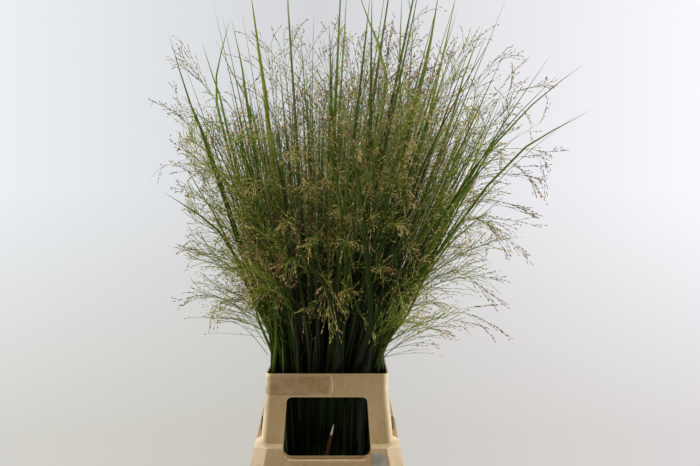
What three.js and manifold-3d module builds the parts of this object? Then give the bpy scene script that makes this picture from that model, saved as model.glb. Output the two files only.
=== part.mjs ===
// Cut switchgrass standing in a flower seller's bucket: a tapered plastic bucket, a window collar that
// stands on its rim, the water, and leafy stems that fan out of the mouth, each with its open panicle.
// Millimetres, +Z up, a short wall faces -Y, origin under the middle of the bucket's base.
import * as THREE from "three";
import { mergeVertices } from "three/addons/utils/BufferGeometryUtils.js";
import Module from "manifold-3d";

const wasm = await Module();
wasm.setup();
const { Manifold } = wasm;
const { lerp, degToRad } = THREE.MathUtils;

// ---------------------------------------------------------------- driving dimensions
const gap = 0.3; // clearance between pieces that touch
const wall = 3; // moulded plastic
const tidy = 0.01; // edges shorter than this are closed up after a join

const bucket = {
  height: 240,
  floor: 4,
  bead: 2, // small step round the base
  foot: { x: 128, y: 178 }, // half sizes of the outside
  top: { x: 141, y: 191 },
  flange: { x: 150, y: 200, drop: 8, slope: 4 },
  cornerCut: 26,
};

const collar = {
  foot: bucket.height + gap,
  skirt: { x: 148, y: 198 }, // half sizes at the foot
  ledge: { x: 138, y: 188, short: 291, long: 300 }, // its height on the short and on the long walls
  body: { x: 125.5, y: 175.5, rise: 7 },
  band: { x: 117.5, y: 167.5, z: 394 },
  rim: { x: 117, y: 167, z: 430 },
  cornerCut: 25,
  cornerRadius: 14,
};

const opening = {
  low: 275,
  high: 385.4,
  radiusLow: 15,
  radiusHigh: 10,
  short: { low: 82.5, high: 76.8 }, // half widths at the sill and at the head
  long: { low: 126, high: 120 },
  jamb: 2.5, // frame wall round the opening
  proud: 0.5, // how far the frame stands off the collar
  flush: 376, // height at which the frame meets the collar's plane
  sill: 13, // depth of the sill block
  innerLip: 3,
  outerLip: 2.6,
  lipDrop: 4.7, // the outer lip is lower than the inner one
  grooveDrop: 9,
  ribAt: 35.5,
  ribHalf: 1,
};

const label = { x: 98.8, z: 266, width: 26.5, height: 31, thick: 0.6 };
const waterLevel = 85;
const holeClearance = 0.5; // between a stem and the hole that it stands in

// The sheaf's half widths at each height. Above the mouth it flares and leans to the right.
const fan = {
  x: { base: 76, slope: 0.03, flare: 0.21 },
  y: { base: 118, slope: 0.03, flare: 0.165 },
  mouth: 420,
  soft: 60,
  lean: 0.06,
};

// Rings of stems from the middle out. Each stem keeps to its own cell of the sheaf. A place in a cell
// is (a, b): a outwards and b round the ring, in units of half the cell's size.
const stemRings = [
  { count: 3, r: 0.22, half: 0.15, turn: 30, culm: [740, 830], outer: false },
  { count: 8, r: 0.535, half: 0.155, turn: 12, culm: [650, 800], outer: false },
  { count: 13, r: 0.865, half: 0.155, turn: 0, culm: [500, 700], outer: true },
];
const cellFill = 0.94; // share of a ring's angle that its cells take up
const leafLanes = [
  [0.62, 0.62],
  [-0.62, -0.62],
  [0.62, -0.62],
  [-0.62, 0.62],
];

const culm = { sides: 4, foot: 2.9, top: 1.4, knots: [130, 260, 370, 450, 530] };
const blade = {
  half: 4.6,
  thick: 0.95,
  fold: 1.7, // how deep its V is
  rootWidth: 0.14, // share of its width that is sunk in the culm
  steps: 5,
  first: 392, // height of the lowest root, over the collar's windows
  last: 80, // the highest root's distance below the culm's top
  rise: [420, 620],
  highest: 1265,
  reach: [0.8, 4.4], // how far out the outer leaves go, from the stiffest to the laxest
  arch: [0.1, 0.45],
};
const panicle = {
  height: [270, 350],
  foot: 1.5, // radius of the axis
  top: 1,
  steps: 5,
  branches: 7, // two more on the outer ones
  sunk: 0.28, // radius of a branch's root, inside the axis
  hair: 0.5, // radius of a branch
  grain: 1.2, // radius of a spikelet
  grainLength: 6,
  sway: [0.6, 3.4], // how far the outer ones lean out, from the stiffest to the laxest
  nod: 0.75,
  droop: [1.2, 2.6], // how far their outward branches reach
  fall: [40, 130],
};

// ---------------------------------------------------------------- chance
// One repeatable stream of numbers for each seed.
function chances(seed) {
  let state = Math.imul(seed + 1, 0x9e3779b1) >>> 0;
  return (low, high) => {
    state = (state + 0x6d2b79f5) >>> 0;
    let mixed = Math.imul(state ^ (state >>> 15), state | 1);
    mixed ^= mixed + Math.imul(mixed ^ (mixed >>> 7), mixed | 61);
    return low + ((high - low) * ((mixed ^ (mixed >>> 14)) >>> 0)) / 2 ** 32;
  };
}

// ---------------------------------------------------------------- solids
function solidOf(geometry) {
  const bare = geometry.clone();
  bare.deleteAttribute("normal");
  bare.deleteAttribute("uv");
  const merged = mergeVertices(bare, 1e-4);
  const mesh = new wasm.Mesh({
    numProp: 3,
    vertProperties: new Float32Array(merged.attributes.position.array),
    triVerts: new Uint32Array(merged.index.array),
  });
  return new Manifold(mesh);
}

function meshOf(name, solid, material) {
  const made = solid.simplify(tidy).getMesh();
  const geometry = new THREE.BufferGeometry();
  geometry.setAttribute("position", new THREE.BufferAttribute(new Float32Array(made.vertProperties), 3));
  geometry.setIndex(new THREE.BufferAttribute(new Uint32Array(made.triVerts), 1));
  const mesh = new THREE.Mesh(geometry, material);
  mesh.name = name;
  return mesh;
}

// A closed skin over rings of points that run anticlockwise about the way of travel. A last ring of
// one point is a tip.
function loft(rings) {
  const faces = [];
  let low = 0;
  for (let r = 0; r + 1 < rings.length; r++) {
    const count = rings[r].length;
    const high = low + count;
    for (let i = 0; i < count; i++) {
      const j = (i + 1) % count;
      if (rings[r + 1].length === 1) faces.push(low + i, low + j, high);
      else faces.push(low + i, low + j, high + j, low + i, high + j, high + i);
    }
    low = high;
  }
  for (let i = 1; i + 1 < rings[0].length; i++) faces.push(0, i + 1, i);
  for (let i = 1; i + 1 < rings.at(-1).length; i++) faces.push(low, low + i, low + i + 1);
  const geometry = new THREE.BufferGeometry().setFromPoints(rings.flat());
  geometry.setIndex(faces);
  return solidOf(geometry);
}

// A ring round a rectangle of half sizes x and y whose corners are cut back by `cut`: straight when
// bulge is 0, round when it is 1. heightAt takes 0 on the short walls and 1 on the long ones.
function wallRing({ x, y }, cut, bulge, heightAt) {
  const steps = 2;
  const points = [];
  for (const [sx, sy] of [[1, -1], [1, 1], [-1, 1], [-1, -1]])
    for (let i = 0; i <= steps; i++) {
      const turn = sx * sy > 0 ? 1 - i / steps : i / steps;
      const across = lerp(turn, Math.sin((turn * Math.PI) / 2), bulge);
      const along = lerp(1 - turn, Math.cos((turn * Math.PI) / 2), bulge);
      points.push(new THREE.Vector3(sx * (x - cut + cut * across), sy * (y - cut + cut * along), heightAt(turn)));
    }
  return points;
}
const level = (z) => () => z;
const rising = (short, long) => (turn) => lerp(short, long, turn);
const grown = ({ x, y }, by) => ({ x: x + by, y: y + by });

// A plane through two levels, as half sizes at a height.
function planeThrough(low, lowZ, high, highZ) {
  return (z) => {
    const along = (z - lowZ) / (highZ - lowZ);
    return { x: lerp(low.x, high.x, along), y: lerp(low.y, high.y, along) };
  };
}

// ---------------------------------------------------------------- bucket
function bucketSolid() {
  const { foot, top, flange, height, floor, bead, cornerCut } = bucket;
  const under = height - flange.drop;
  const outside = loft([
    wallRing(grown(foot, -bead), cornerCut, 0.6, level(0)),
    wallRing(foot, cornerCut, 0.6, level(bead)),
    wallRing(top, cornerCut, 0.6, level(under - flange.slope)),
    wallRing(flange, cornerCut, 0.3, level(under)),
    wallRing(flange, cornerCut, 0.3, level(height)),
  ]);
  const inside = loft([
    wallRing(grown(foot, -wall), cornerCut, 0.6, level(floor)),
    wallRing(grown(top, -wall), cornerCut, 0.6, level(height + 1)),
  ]);
  return outside.subtract(inside);
}

// ---------------------------------------------------------------- collar
const { skirt, ledge, body, band, rim } = collar;
const skirtAt = planeThrough(skirt, collar.foot, ledge, ledge.short);
const bodyAt = planeThrough(body, ledge.short + body.rise, band, band.z);

function collarShell() {
  const { cornerCut, cornerRadius, foot } = collar;
  const innerRadius = cornerRadius - wall / 2;
  const outside = loft([
    wallRing(skirt, cornerCut, 0, level(foot)),
    wallRing(ledge, cornerCut, 0, rising(ledge.short, ledge.long)),
    wallRing(body, cornerRadius, 1, rising(ledge.short + body.rise, ledge.long + body.rise)),
    wallRing(band, cornerRadius, 1, level(band.z)),
    wallRing(rim, cornerRadius, 1, level(rim.z)),
  ]);
  const under = rising(ledge.short - wall, ledge.long - wall);
  const inside = loft([
    wallRing(grown(skirt, -wall), cornerCut, 0, level(foot - 1)),
    wallRing(grown(ledge, -wall), cornerCut, 0, under),
    wallRing(grown(body, -wall), innerRadius, 1, (turn) => under(turn) + body.rise),
    wallRing(grown(band, -wall), innerRadius, 1, level(band.z)),
    wallRing(grown(rim, -wall), innerRadius, 1, level(rim.z + 1)),
  ]);
  return outside.subtract(inside);
}

// What the window frames may fill: between the body's wall carried on down, and a steeper plane that
// is flush with the collar at the head and with the skirt at the ledge.
function frameEnvelope() {
  const { cornerCut, cornerRadius } = collar;
  const bottom = opening.low - opening.sill;
  const outerRing = (planeAt, z, cut, bulge) => wallRing(grown(planeAt(z), opening.proud), cut, bulge, level(z));
  const coreRing = (z) => wallRing(grown(bodyAt(z), -wall), cornerRadius, 1, level(z));
  const outer = loft([
    outerRing(skirtAt, bottom, cornerCut, 0),
    outerRing(skirtAt, ledge.long, cornerCut, 0),
    outerRing(bodyAt, opening.flush, cornerRadius, 1),
    outerRing(bodyAt, band.z, cornerRadius, 1),
  ]);
  return outer.subtract(loft([coreRing(bottom - 1), coreRing(band.z + 1)]));
}

// The opening's outline in its own plane: `grow` widens it at the sides and the head, `drop` moves it
// down and `deep` lowers its sill.
function openingShape(size, { grow = 0, drop = 0, deep = 0 } = {}) {
  const { radiusLow } = opening;
  const radiusHigh = opening.radiusHigh + grow;
  const bottom = opening.low - drop - deep;
  const top = opening.high - drop + grow;
  const low = size.low + grow;
  const high = size.high + grow;
  const shape = new THREE.Shape();
  shape.moveTo(-low + radiusLow, bottom);
  shape.absarc(low - radiusLow, bottom + radiusLow, radiusLow, -Math.PI / 2, 0);
  shape.absarc(high - radiusHigh, top - radiusHigh, radiusHigh, 0, Math.PI / 2);
  shape.absarc(-high + radiusHigh, top - radiusHigh, radiusHigh, Math.PI / 2, Math.PI);
  shape.absarc(-low + radiusLow, bottom + radiusLow, radiusLow, Math.PI, Math.PI * 1.5);
  return shape;
}

function troughShape(left, right, bottom, top) {
  const corners = [[left, bottom], [right, bottom], [right, top], [left, top]];
  return new THREE.Shape(corners.map(([x, y]) => new THREE.Vector2(x, y)));
}

// A prism of a shape through one of the four walls, from `near` to `far` out from the middle.
function prism(shape, side, near, far) {
  const geometry = new THREE.ExtrudeGeometry(shape, { depth: far - near, bevelEnabled: false, curveSegments: 2 });
  geometry.rotateX(Math.PI / 2);
  geometry.translate(0, -near, 0);
  geometry.rotateZ((side * Math.PI) / 2);
  return solidOf(geometry);
}

function collarSolid() {
  const { low, high, jamb, sill, proud, innerLip, outerLip, lipDrop, grooveDrop, ribAt, ribHalf } = opening;
  const envelope = frameEnvelope();
  const frames = [];
  const cuts = [];
  for (let side = 0; side < 4; side++) {
    const size = side % 2 ? opening.long : opening.short;
    const out = side % 2 ? "x" : "y";
    const near = bodyAt(high)[out] - 4 * wall;
    const far = skirt[out] + 4 * wall;
    const grooveNear = bodyAt(low)[out] - wall + innerLip;
    const grooveFar = skirtAt(low)[out] + proud - outerLip;
    const grooveEnd = size.low - opening.radiusLow;
    frames.push(prism(openingShape(size, { grow: jamb, deep: sill }), side, near, far).intersect(envelope));
    cuts.push(prism(openingShape(size), side, near, far));
    cuts.push(prism(openingShape(size, { drop: lipDrop }), side, grooveNear, far));
    const ends = [-grooveEnd, -ribAt - ribHalf, -ribAt + ribHalf, ribAt - ribHalf, ribAt + ribHalf, grooveEnd];
    for (let i = 0; i < ends.length; i += 2) {
      const trough = troughShape(ends[i], ends[i + 1], low - grooveDrop, low);
      cuts.push(prism(trough, side, grooveNear, grooveFar));
    }
  }
  return collarShell().add(Manifold.union(frames)).subtract(Manifold.union(cuts));
}

// A bare card stuck low on the skirt, at its right.
function labelMesh(material) {
  const tilt = Math.atan2(skirt.y - ledge.y, ledge.short - collar.foot);
  const mesh = new THREE.Mesh(new THREE.BoxGeometry(label.width, label.thick, label.height), material);
  mesh.name = "label";
  mesh.position.set(label.x, -skirtAt(label.z).y - (gap + label.thick / 2) / Math.cos(tilt), label.z);
  mesh.rotation.x = -tilt;
  return mesh;
}

// ---------------------------------------------------------------- the sheaf
// Twice the height above the mouth, and almost nothing below it.
function openedOut(z) {
  const above = z - fan.mouth;
  return above + Math.hypot(above, fan.soft);
}

function halfWidth({ base, slope, flare }, z) {
  return base + slope * z + flare * openedOut(z);
}

function placeIn(cell, a, b, z) {
  const r = cell.r + a * cell.half;
  const angle = cell.angle + b * cell.halfAngle;
  const x = fan.lean * openedOut(z) + halfWidth(fan.x, z) * r * Math.cos(angle);
  return new THREE.Vector3(x, halfWidth(fan.y, z) * r * Math.sin(angle), z);
}

function sheafCells() {
  const cells = [];
  for (const ring of stemRings)
    for (let i = 0; i < ring.count; i++) {
      const chance = chances(cells.length);
      cells.push({
        index: cells.length,
        r: ring.r,
        half: ring.half,
        angle: degToRad(ring.turn + (360 * i) / ring.count),
        halfAngle: (cellFill * Math.PI) / ring.count,
        culmTop: chance(...ring.culm),
        outer: ring.outer,
        chance,
      });
    }
  return cells;
}

// A section with few sides, square to the way the path goes at that point.
function sectionAt(path, i, radius, sides) {
  const chord = path.at(-1).clone().sub(path[0]);
  const along = path[Math.min(i + 1, path.length - 1)].clone().sub(path[Math.max(i - 1, 0)]).normalize();
  const right = new THREE.Vector3(-chord.y, chord.x, 0).projectOnPlane(along).normalize();
  const up = along.clone().cross(right);
  return Array.from({ length: sides }, (_, side) => {
    const angle = (2 * Math.PI * side) / sides;
    const spoke = right.clone().multiplyScalar(Math.cos(angle)).addScaledVector(up, Math.sin(angle));
    return path[i].clone().addScaledVector(spoke, radius);
  });
}

function culmPath(cell, foot) {
  const heights = [foot, ...culm.knots.filter((z) => z < cell.culmTop - blade.last / 2), cell.culmTop];
  return heights.map((z) => placeIn(cell, 0, 0, z));
}

function culmSolid(cell, foot, thicker = 0) {
  const path = culmPath(cell, foot);
  return loft(path.map((point, i) => {
    const radius = lerp(culm.foot, culm.top, point.z / cell.culmTop) + thicker;
    return sectionAt(path, i, radius, culm.sides);
  }));
}

function onPath(path, z) {
  const above = path.findIndex((point) => point.z > z);
  const below = path[above - 1];
  return below.clone().lerp(path[above], (z - below.z) / (path[above].z - below.z));
}

// A long blade that leaves the culm for its lane and follows the sheaf's flare. Its section is a
// shallow V, open to the culm. Outside the sheaf it arches over.
function leafSolid(cell, index, stalk) {
  const { chance } = cell;
  const [laneOut, laneRound] = leafLanes[index];
  const root = lerp(blade.first, cell.culmTop - blade.last, index / (leafLanes.length - 1));
  const rise = Math.min(chance(...blade.rise), blade.highest - root);
  const lax = cell.outer && laneOut > 0 ? chance(0, 1) : 0;
  const out = lax ? lerp(...blade.reach, lax) : laneOut;
  const arch = lax * chance(...blade.arch);
  const path = Array.from({ length: blade.steps + 1 }, (_, i) => {
    const t = (i / blade.steps) ** 1.4;
    const z = root + rise * (t - arch * t ** 3);
    return i ? placeIn(cell, lerp(laneOut, out, t ** 2), laneRound, z) : onPath(stalk, root);
  });
  const outward = placeIn(cell, 1, 0, root).sub(placeIn(cell, 0, 0, root)).normalize();
  return loft(path.map((point, i) => {
    if (i === blade.steps) return [point];
    const along = path[i + 1].clone().sub(path[Math.max(i - 1, 0)]).normalize();
    const across = along.clone().cross(outward).normalize();
    const normal = across.clone().cross(along);
    const taper = i ? Math.sqrt(1 - (i / blade.steps) ** 2.2) : blade.rootWidth;
    const at = (side, lift) => point.clone().addScaledVector(across, side).addScaledVector(normal, lift);
    const edge = blade.half * taper;
    const fold = -blade.fold * taper;
    return [at(0, blade.thick / 2), at(edge, fold), at(0, -blade.thick / 2), at(-edge, fold)];
  }));
}

function leafyStemSolid(cell) {
  const foot = bucket.floor + gap;
  const leaves = leafLanes.map((_, index) => leafSolid(cell, index, culmPath(cell, foot)));
  return Manifold.union([culmSolid(cell, foot), ...leaves]);
}

// A three-sided needle from a root along a curve, which swells into two spikelets on its way.
function needle(root, pathAt) {
  const half = panicle.grainLength / 2 / pathAt(1).distanceTo(pathAt(0));
  const middle = 0.62;
  const stations = [
    [0, panicle.sunk],
    [middle - half, panicle.hair],
    [middle, panicle.grain],
    [middle + half, panicle.hair],
    [1 - half, panicle.grain],
    [1, 0],
  ];
  const path = stations.map(([along]) => (along ? pathAt(along) : root));
  return loft(path.map((point, i) => (stations[i][1] ? sectionAt(path, i, stations[i][1], 3) : [point])));
}

// The panicle stands on the culm: an axis with fine branches in the four directions that the leaves
// leave free. The outer ones lean out, nod and droop.
function panicleSolid(cell) {
  const { chance } = cell;
  const height = chance(...panicle.height);
  const foot = cell.culmTop + gap;
  const lax = cell.outer ? chance(0, 1) : 0;
  const sway = lax && lerp(...panicle.sway, lax);
  const nod = panicle.nod * lax;
  const axisAt = (t) => ({ a: sway * t * t, b: 0, z: foot + height * (t - nod * t ** 3) });
  const axis = Array.from({ length: panicle.steps + 1 }, (_, i) => {
    const { a, b, z } = axisAt(i / panicle.steps);
    return placeIn(cell, a, b, z);
  });
  const stalk = loft(axis.map((point, i) => {
    const radius = lerp(panicle.foot, panicle.top, i / panicle.steps);
    return i === panicle.steps ? [point] : sectionAt(axis, i, radius, 3);
  }));
  const count = cell.outer ? panicle.branches + 2 : panicle.branches;
  const branches = Array.from({ length: count }, (_, k) => {
    const t = 0.06 + (0.86 * (k + chance(0, 0.6))) / count;
    const root = axisAt(t);
    const knot = Math.floor(t * panicle.steps);
    const start = axis[knot].clone().lerp(axis[knot + 1], t * panicle.steps - knot);
    const turn = degToRad(90 * k + chance(-18, 18));
    const drooping = cell.outer && k % 4 === 0;
    const reach = drooping ? chance(...panicle.droop) : chance(0.6, 0.85);
    const rise = height * (1 - t) * chance(0.1, 0.3) + 12;
    const fall = drooping ? chance(...panicle.fall) : 0;
    return needle(start, (s) => {
      const a = root.a + reach * s * Math.cos(turn);
      const b = root.b + Math.min(reach, 0.85) * s * Math.sin(turn);
      return placeIn(cell, a, b, root.z + rise * s - fall * s * s);
    });
  });
  return Manifold.union([stalk, ...branches]);
}

// ---------------------------------------------------------------- water
function waterSolid(cells) {
  const { foot, floor, top, height, cornerCut } = bucket;
  const innerAt = planeThrough(grown(foot, -wall), floor, grown(top, -wall), height + 1);
  const surface = (z) => wallRing(grown(innerAt(z), -gap), cornerCut, 0.6, level(z));
  const holes = cells.map((cell) => culmSolid(cell, -1, holeClearance));
  return loft([surface(floor + gap), surface(waterLevel)]).subtract(Manifold.union(holes));
}

// ---------------------------------------------------------------- the object
const finish = (color, roughness, more = {}) => new THREE.MeshStandardMaterial({ color, roughness, ...more });
const materials = {
  bucket: finish(0x8f7d5e, 0.45),
  collar: finish(0xb59c72, 0.5),
  label: finish(0x9a9a96, 0.8),
  water: finish(0x8f9c8c, 0.1, { transparent: true, opacity: 0.55 }),
  leafyStem: finish(0x4f6b2c, 0.6),
  panicle: finish(0x8a5f3c, 0.75),
};

const switchgrass = new THREE.Group();
const cells = sheafCells();
switchgrass.add(meshOf("bucket", bucketSolid(), materials.bucket));
switchgrass.add(meshOf("collar", collarSolid(), materials.collar));
switchgrass.add(labelMesh(materials.label));
switchgrass.add(meshOf("water", waterSolid(cells), materials.water));
for (const cell of cells) {
  const number = String(cell.index + 1).padStart(2, "0");
  switchgrass.add(meshOf(`leafy_stem_${number}`, leafyStemSolid(cell), materials.leafyStem));
  switchgrass.add(meshOf(`panicle_${number}`, panicleSolid(cell), materials.panicle));
}

export default switchgrass;
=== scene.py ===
import math

import bmesh
import bpy
import numpy as np
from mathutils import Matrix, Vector


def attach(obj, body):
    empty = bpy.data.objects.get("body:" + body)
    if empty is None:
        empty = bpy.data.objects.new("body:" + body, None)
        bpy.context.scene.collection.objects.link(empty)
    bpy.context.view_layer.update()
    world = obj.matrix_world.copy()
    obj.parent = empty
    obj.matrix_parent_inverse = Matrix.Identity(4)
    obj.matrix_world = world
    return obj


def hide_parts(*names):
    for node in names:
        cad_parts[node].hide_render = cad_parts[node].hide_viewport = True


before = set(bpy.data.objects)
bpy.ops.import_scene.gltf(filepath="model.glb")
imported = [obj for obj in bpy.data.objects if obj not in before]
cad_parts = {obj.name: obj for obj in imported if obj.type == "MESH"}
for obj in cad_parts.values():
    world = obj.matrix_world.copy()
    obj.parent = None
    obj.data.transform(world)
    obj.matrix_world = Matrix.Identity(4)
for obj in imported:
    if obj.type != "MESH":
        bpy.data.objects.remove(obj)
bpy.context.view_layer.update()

mm = 0.001  # sizes below are in millimetres, meshes are in metres
print("frame loaded:", len(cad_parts), "nodes")


# working with meshes

def mix(low, high, share):
    return low + (high - low) * share


def clearSelection():
    if bpy.context.object and bpy.context.object.mode != "OBJECT":
        bpy.ops.object.mode_set(mode="OBJECT")
    bpy.ops.object.select_all(action="DESELECT")


def makeActive(piece):
    clearSelection()
    piece.select_set(True)
    bpy.context.view_layer.objects.active = piece


def shadeSmooth(piece, angle):
    makeActive(piece)
    bpy.ops.object.shade_smooth_by_angle(angle=math.radians(angle))


def addModifier(piece, kind, **settings):
    makeActive(piece)
    modifier = piece.modifiers.new(kind.title(), kind)
    for name, value in settings.items():
        setattr(modifier, name, value)
    bpy.ops.object.modifier_apply(modifier=modifier.name)


def placeRing(piece, ring, before=None):
    # moves the selected loop of vertices onto the ring's points
    bm = bmesh.from_edit_mesh(piece.data)
    picked = [vert for vert in bm.verts if vert.select]
    if before is None:
        picked.sort(key=lambda vert: vert.index)
        order = range(len(ring))
    else:
        old = np.array(before) * mm
        order = [int(np.argmin(((old - np.array(vert.co)) ** 2).sum(axis=1))) for vert in picked]
    for vert, index in zip(picked, order):
        vert.co = Vector(ring[index]) * mm
    bmesh.update_edit_mesh(piece.data)


def closeShape():
    # back to object mode, with every face of the closed shape pointing out
    bpy.ops.mesh.select_all(action="SELECT")
    bpy.ops.mesh.normals_make_consistent(inside=False)
    bpy.ops.object.mode_set(mode="OBJECT")


def ringedSolid(name, rings):
    # one loop of points extruded from ring to ring, closed at both ends
    clearSelection()
    bpy.ops.mesh.primitive_circle_add(vertices=len(rings[0]), radius=1, fill_type="NGON")
    piece = bpy.context.object
    piece.name = piece.data.name = name
    bpy.ops.object.mode_set(mode="EDIT")
    placeRing(piece, rings[0])
    for before, ring in zip(rings, rings[1:]):
        bpy.ops.mesh.extrude_region_move()
        placeRing(piece, ring, before)
    closeShape()
    return piece


def combine(piece, tool, operation):
    addModifier(piece, "BOOLEAN", operation=operation, solver="EXACT", object=tool)
    bpy.data.meshes.remove(tool.data)


def finishEdges(piece, width, segments=2, angle=30):
    addModifier(piece, "BEVEL", width=width * mm, segments=segments, limit_method="ANGLE",
                angle_limit=math.radians(angle), use_clamp_overlap=True)
    shadeSmooth(piece, angle)


def place(piece, materials, nodes=()):
    for material in materials:
        piece.data.materials.append(material)
    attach(piece, "root")
    if nodes:
        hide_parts(*nodes)


# working with shaders

class Wire:
    # a value on its way between nodes: plain arithmetic on it adds the Math node that does it
    def __init__(self, tree, socket):
        self.tree, self.socket = tree, socket

    def __add__(self, other):
        return maths(self.tree, "ADD", self, other)

    def __sub__(self, other):
        return maths(self.tree, "SUBTRACT", self, other)

    def __rsub__(self, other):
        return maths(self.tree, "SUBTRACT", other, self)

    def __mul__(self, other):
        return maths(self.tree, "MULTIPLY", self, other)

    def __truediv__(self, other):
        return maths(self.tree, "DIVIDE", self, other)

    def __pow__(self, other):
        return maths(self.tree, "POWER", self, other)

    def __abs__(self):
        return maths(self.tree, "ABSOLUTE", self)

    def __lt__(self, other):
        return maths(self.tree, "LESS_THAN", self, other)

    def __gt__(self, other):
        return maths(self.tree, "GREATER_THAN", self, other)

    def clamped(self):
        self.socket.node.use_clamp = True
        return self

    def to(self, socket):
        self.tree.links.new(self.socket, socket)


def fill(socket, value):
    if isinstance(value, Wire):
        value.to(socket)
    else:
        socket.default_value = value


def addNode(tree, kind, inputs=None, **settings):
    node = tree.nodes.new("ShaderNode" + kind)
    for name, value in settings.items():
        setattr(node, name, value)
    for name, value in (inputs or {}).items():
        fill(node.inputs[name], value)
    return node


def fetch(tree, kind, output, inputs=None, **settings):
    return Wire(tree, addNode(tree, kind, inputs, **settings).outputs[output])


def maths(tree, operation, *values):
    return fetch(tree, "Math", 0, dict(enumerate(values)), operation=operation)


def split(vector):
    return [fetch(vector.tree, "SeparateXYZ", axis, {0: vector}) for axis in range(3)]


def noise(vector, scale, detail):
    return fetch(vector.tree, "TexNoise", "Fac", {"Vector": vector, "Scale": scale, "Detail": detail})


def stretched(vector, **settings):
    return fetch(vector.tree, "Mapping", "Vector", {"Vector": vector, **settings})


def linear(colour):
    # three numbers are a colour on screen, from 0 to 255; four are a linear one, used as it is
    if len(colour) == 4:
        return colour
    levels = [channel / 255 for channel in colour]
    return tuple(v / 12.92 if v <= 0.04045 else ((v + 0.055) / 1.055) ** 2.4 for v in levels) + (1.0,)


def ramp(fac, *stops):
    node = addNode(fac.tree, "ValToRGB", {"Fac": fac})
    elements = node.color_ramp.elements
    while len(elements) < len(stops):
        elements.new(0.5)
    for element, (position, colour) in zip(elements, stops):
        element.position = position
        element.color = linear(colour)
    return Wire(fac.tree, node.outputs["Color"])


def blend(fac, first, second):
    colours = [colour if isinstance(colour, Wire) else linear(colour) for colour in (first, second)]
    return fetch(fac.tree, "Mix", 2, {"Factor": fac, 6: colours[0], 7: colours[1]}, data_type="RGBA")


def addRelief(shader, height, strength, distance):
    bump = {"Strength": strength, "Distance": distance, "Height": height}
    fetch(height.tree, "Bump", "Normal", bump).to(shader.inputs["Normal"])


def newGroup(name, inputs, outputs):
    # an input with no value is a vector, and every other socket a number
    group = bpy.data.node_groups.new(name, "ShaderNodeTree")
    for label, value in inputs.items():
        kind = "Vector" if value is None else "Float"
        socket = group.interface.new_socket(label, in_out="INPUT", socket_type="NodeSocket" + kind)
        if value is not None:
            socket.default_value = value
    for label in outputs:
        group.interface.new_socket(label, in_out="OUTPUT", socket_type="NodeSocketFloat")
    start = group.nodes.new("NodeGroupInput").outputs
    end = group.nodes.new("NodeGroupOutput").inputs
    return group, {label: Wire(group, start[label]) for label in inputs}, end


def useGroup(group, **inputs):
    tree = next(value.tree for value in inputs.values() if isinstance(value, Wire))
    node = tree.nodes.new("ShaderNodeGroup")
    node.node_tree = group
    for name, value in inputs.items():
        fill(node.inputs[name], value)
    return {socket.name: Wire(tree, socket) for socket in node.outputs}


def newMaterial(name, **settings):
    material = bpy.data.materials.new(name)
    material.use_nodes = True
    shader = material.node_tree.nodes["Principled BSDF"]
    for label, value in settings.items():
        shader.inputs[label].default_value = value
    return material, material.node_tree, shader


# cloudy variation in two sizes, around 0.5
mottle, given, result = newGroup("mottle", dict(Vector=None, Scale=10.0, Spread=1.0), ["Value"])
broad = noise(given["Vector"], given["Scale"], 3.0)
fine = noise(given["Vector"], given["Scale"] * 6.5, 2.0)
((broad * 1.3 + fine * 0.7 - 1.0) * given["Spread"] + 0.5).to(result["Value"])

# lengthwise ribs and a midrib of a strip whose width runs from 0 to 1
ribs, given, result = newGroup("ribs", dict(Across=0.5, Count=9.0, Midrib=0.1), ["Ribs", "Midrib"])
wave = maths(ribs, "SINE", given["Across"] * given["Count"] * 6.2832)
(wave * 0.5 + 0.5).to(result["Ribs"])
(1.0 - abs(given["Across"] - 0.5) / given["Midrib"]).clamped().to(result["Midrib"])

# grime in patches, runs that go straight down, fine scratches, specks and the grain of the mould
wear, given, result = newGroup("wear", dict(Vector=None, Amount=1.0),
                               ["Patches", "Runs", "Scratches", "Specks", "Grain"])
patches = useGroup(mottle, Vector=given["Vector"], Scale=14.0, Spread=2.6)["Value"]
(patches * given["Amount"]).clamped().to(result["Patches"])
runs = noise(stretched(given["Vector"], Scale=(90, 90, 5)), 1.0, 3.0)
((runs - 0.52) * 4.0).clamped().to(result["Runs"])
scratches = noise(stretched(given["Vector"], Rotation=(0.4, 0.9, 0.5), Scale=(900, 30, 60)), 1.0, 1.0)
((scratches - 0.66) * 9.0).clamped().to(result["Scratches"])
cells = addNode(wear, "TexVoronoi", {"Vector": given["Vector"], "Scale": 46.0}).outputs
near = (1.0 - Wire(wear, cells["Distance"]) * 17.0).clamped()
picked = fetch(wear, "SeparateColor", "Red", {"Color": Wire(wear, cells["Color"])}) > 0.8
(near * picked).to(result["Specks"])
noise(given["Vector"], 1400.0, 2.0).to(result["Grain"])

# 1 between two heights or widths, with soft ends
within, given, result = newGroup("within", dict(Value=0.0, Low=0.0, High=1.0, Soft=0.001), ["Inside"])
rises = ((given["Value"] - given["Low"]) / given["Soft"]).clamped()
falls = ((given["High"] - given["Value"]) / given["Soft"]).clamped()
(rises * falls).to(result["Inside"])
print("shader groups ready")


# the pot's finishes

# the two darker browns here are painted shade: one on the walls that face inwards, the dull one on the flat
# outer walls and the skirt's chamfers
plasticLook = dict(cream=(214, 200, 170), worn=(200, 178, 140), grime=(140, 108, 68), run=(176, 150, 110),
                   innerShade=(92, 66, 40), scratch=(232, 220, 196), dull=(166, 134, 92),
                   shadedFaces=dict(Y=0.55, X=0.45), shine=0.35, roughness=0.42)
# how strongly each mark, and each painted shade or highlight, shows
markShare = dict(run=0.35, grime=0.4, innerShade=0.72, chamferShade=0.45, scratch=0.35, speck=0.7, grooveShade=0.8, lip=0.8,
                 jamb=0.85, line=0.75, nick=0.8)
# the torn label's residue, with the painted shade of the grooves and jambs and the painted highlight on the
# lip
residueAndPaintedLightLook = dict(patch=(150, 122, 84), line=(84, 60, 38), grooveShade=(212, 156, 88), lip=(240, 228, 204),
                   gold=(206, 146, 84))
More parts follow.
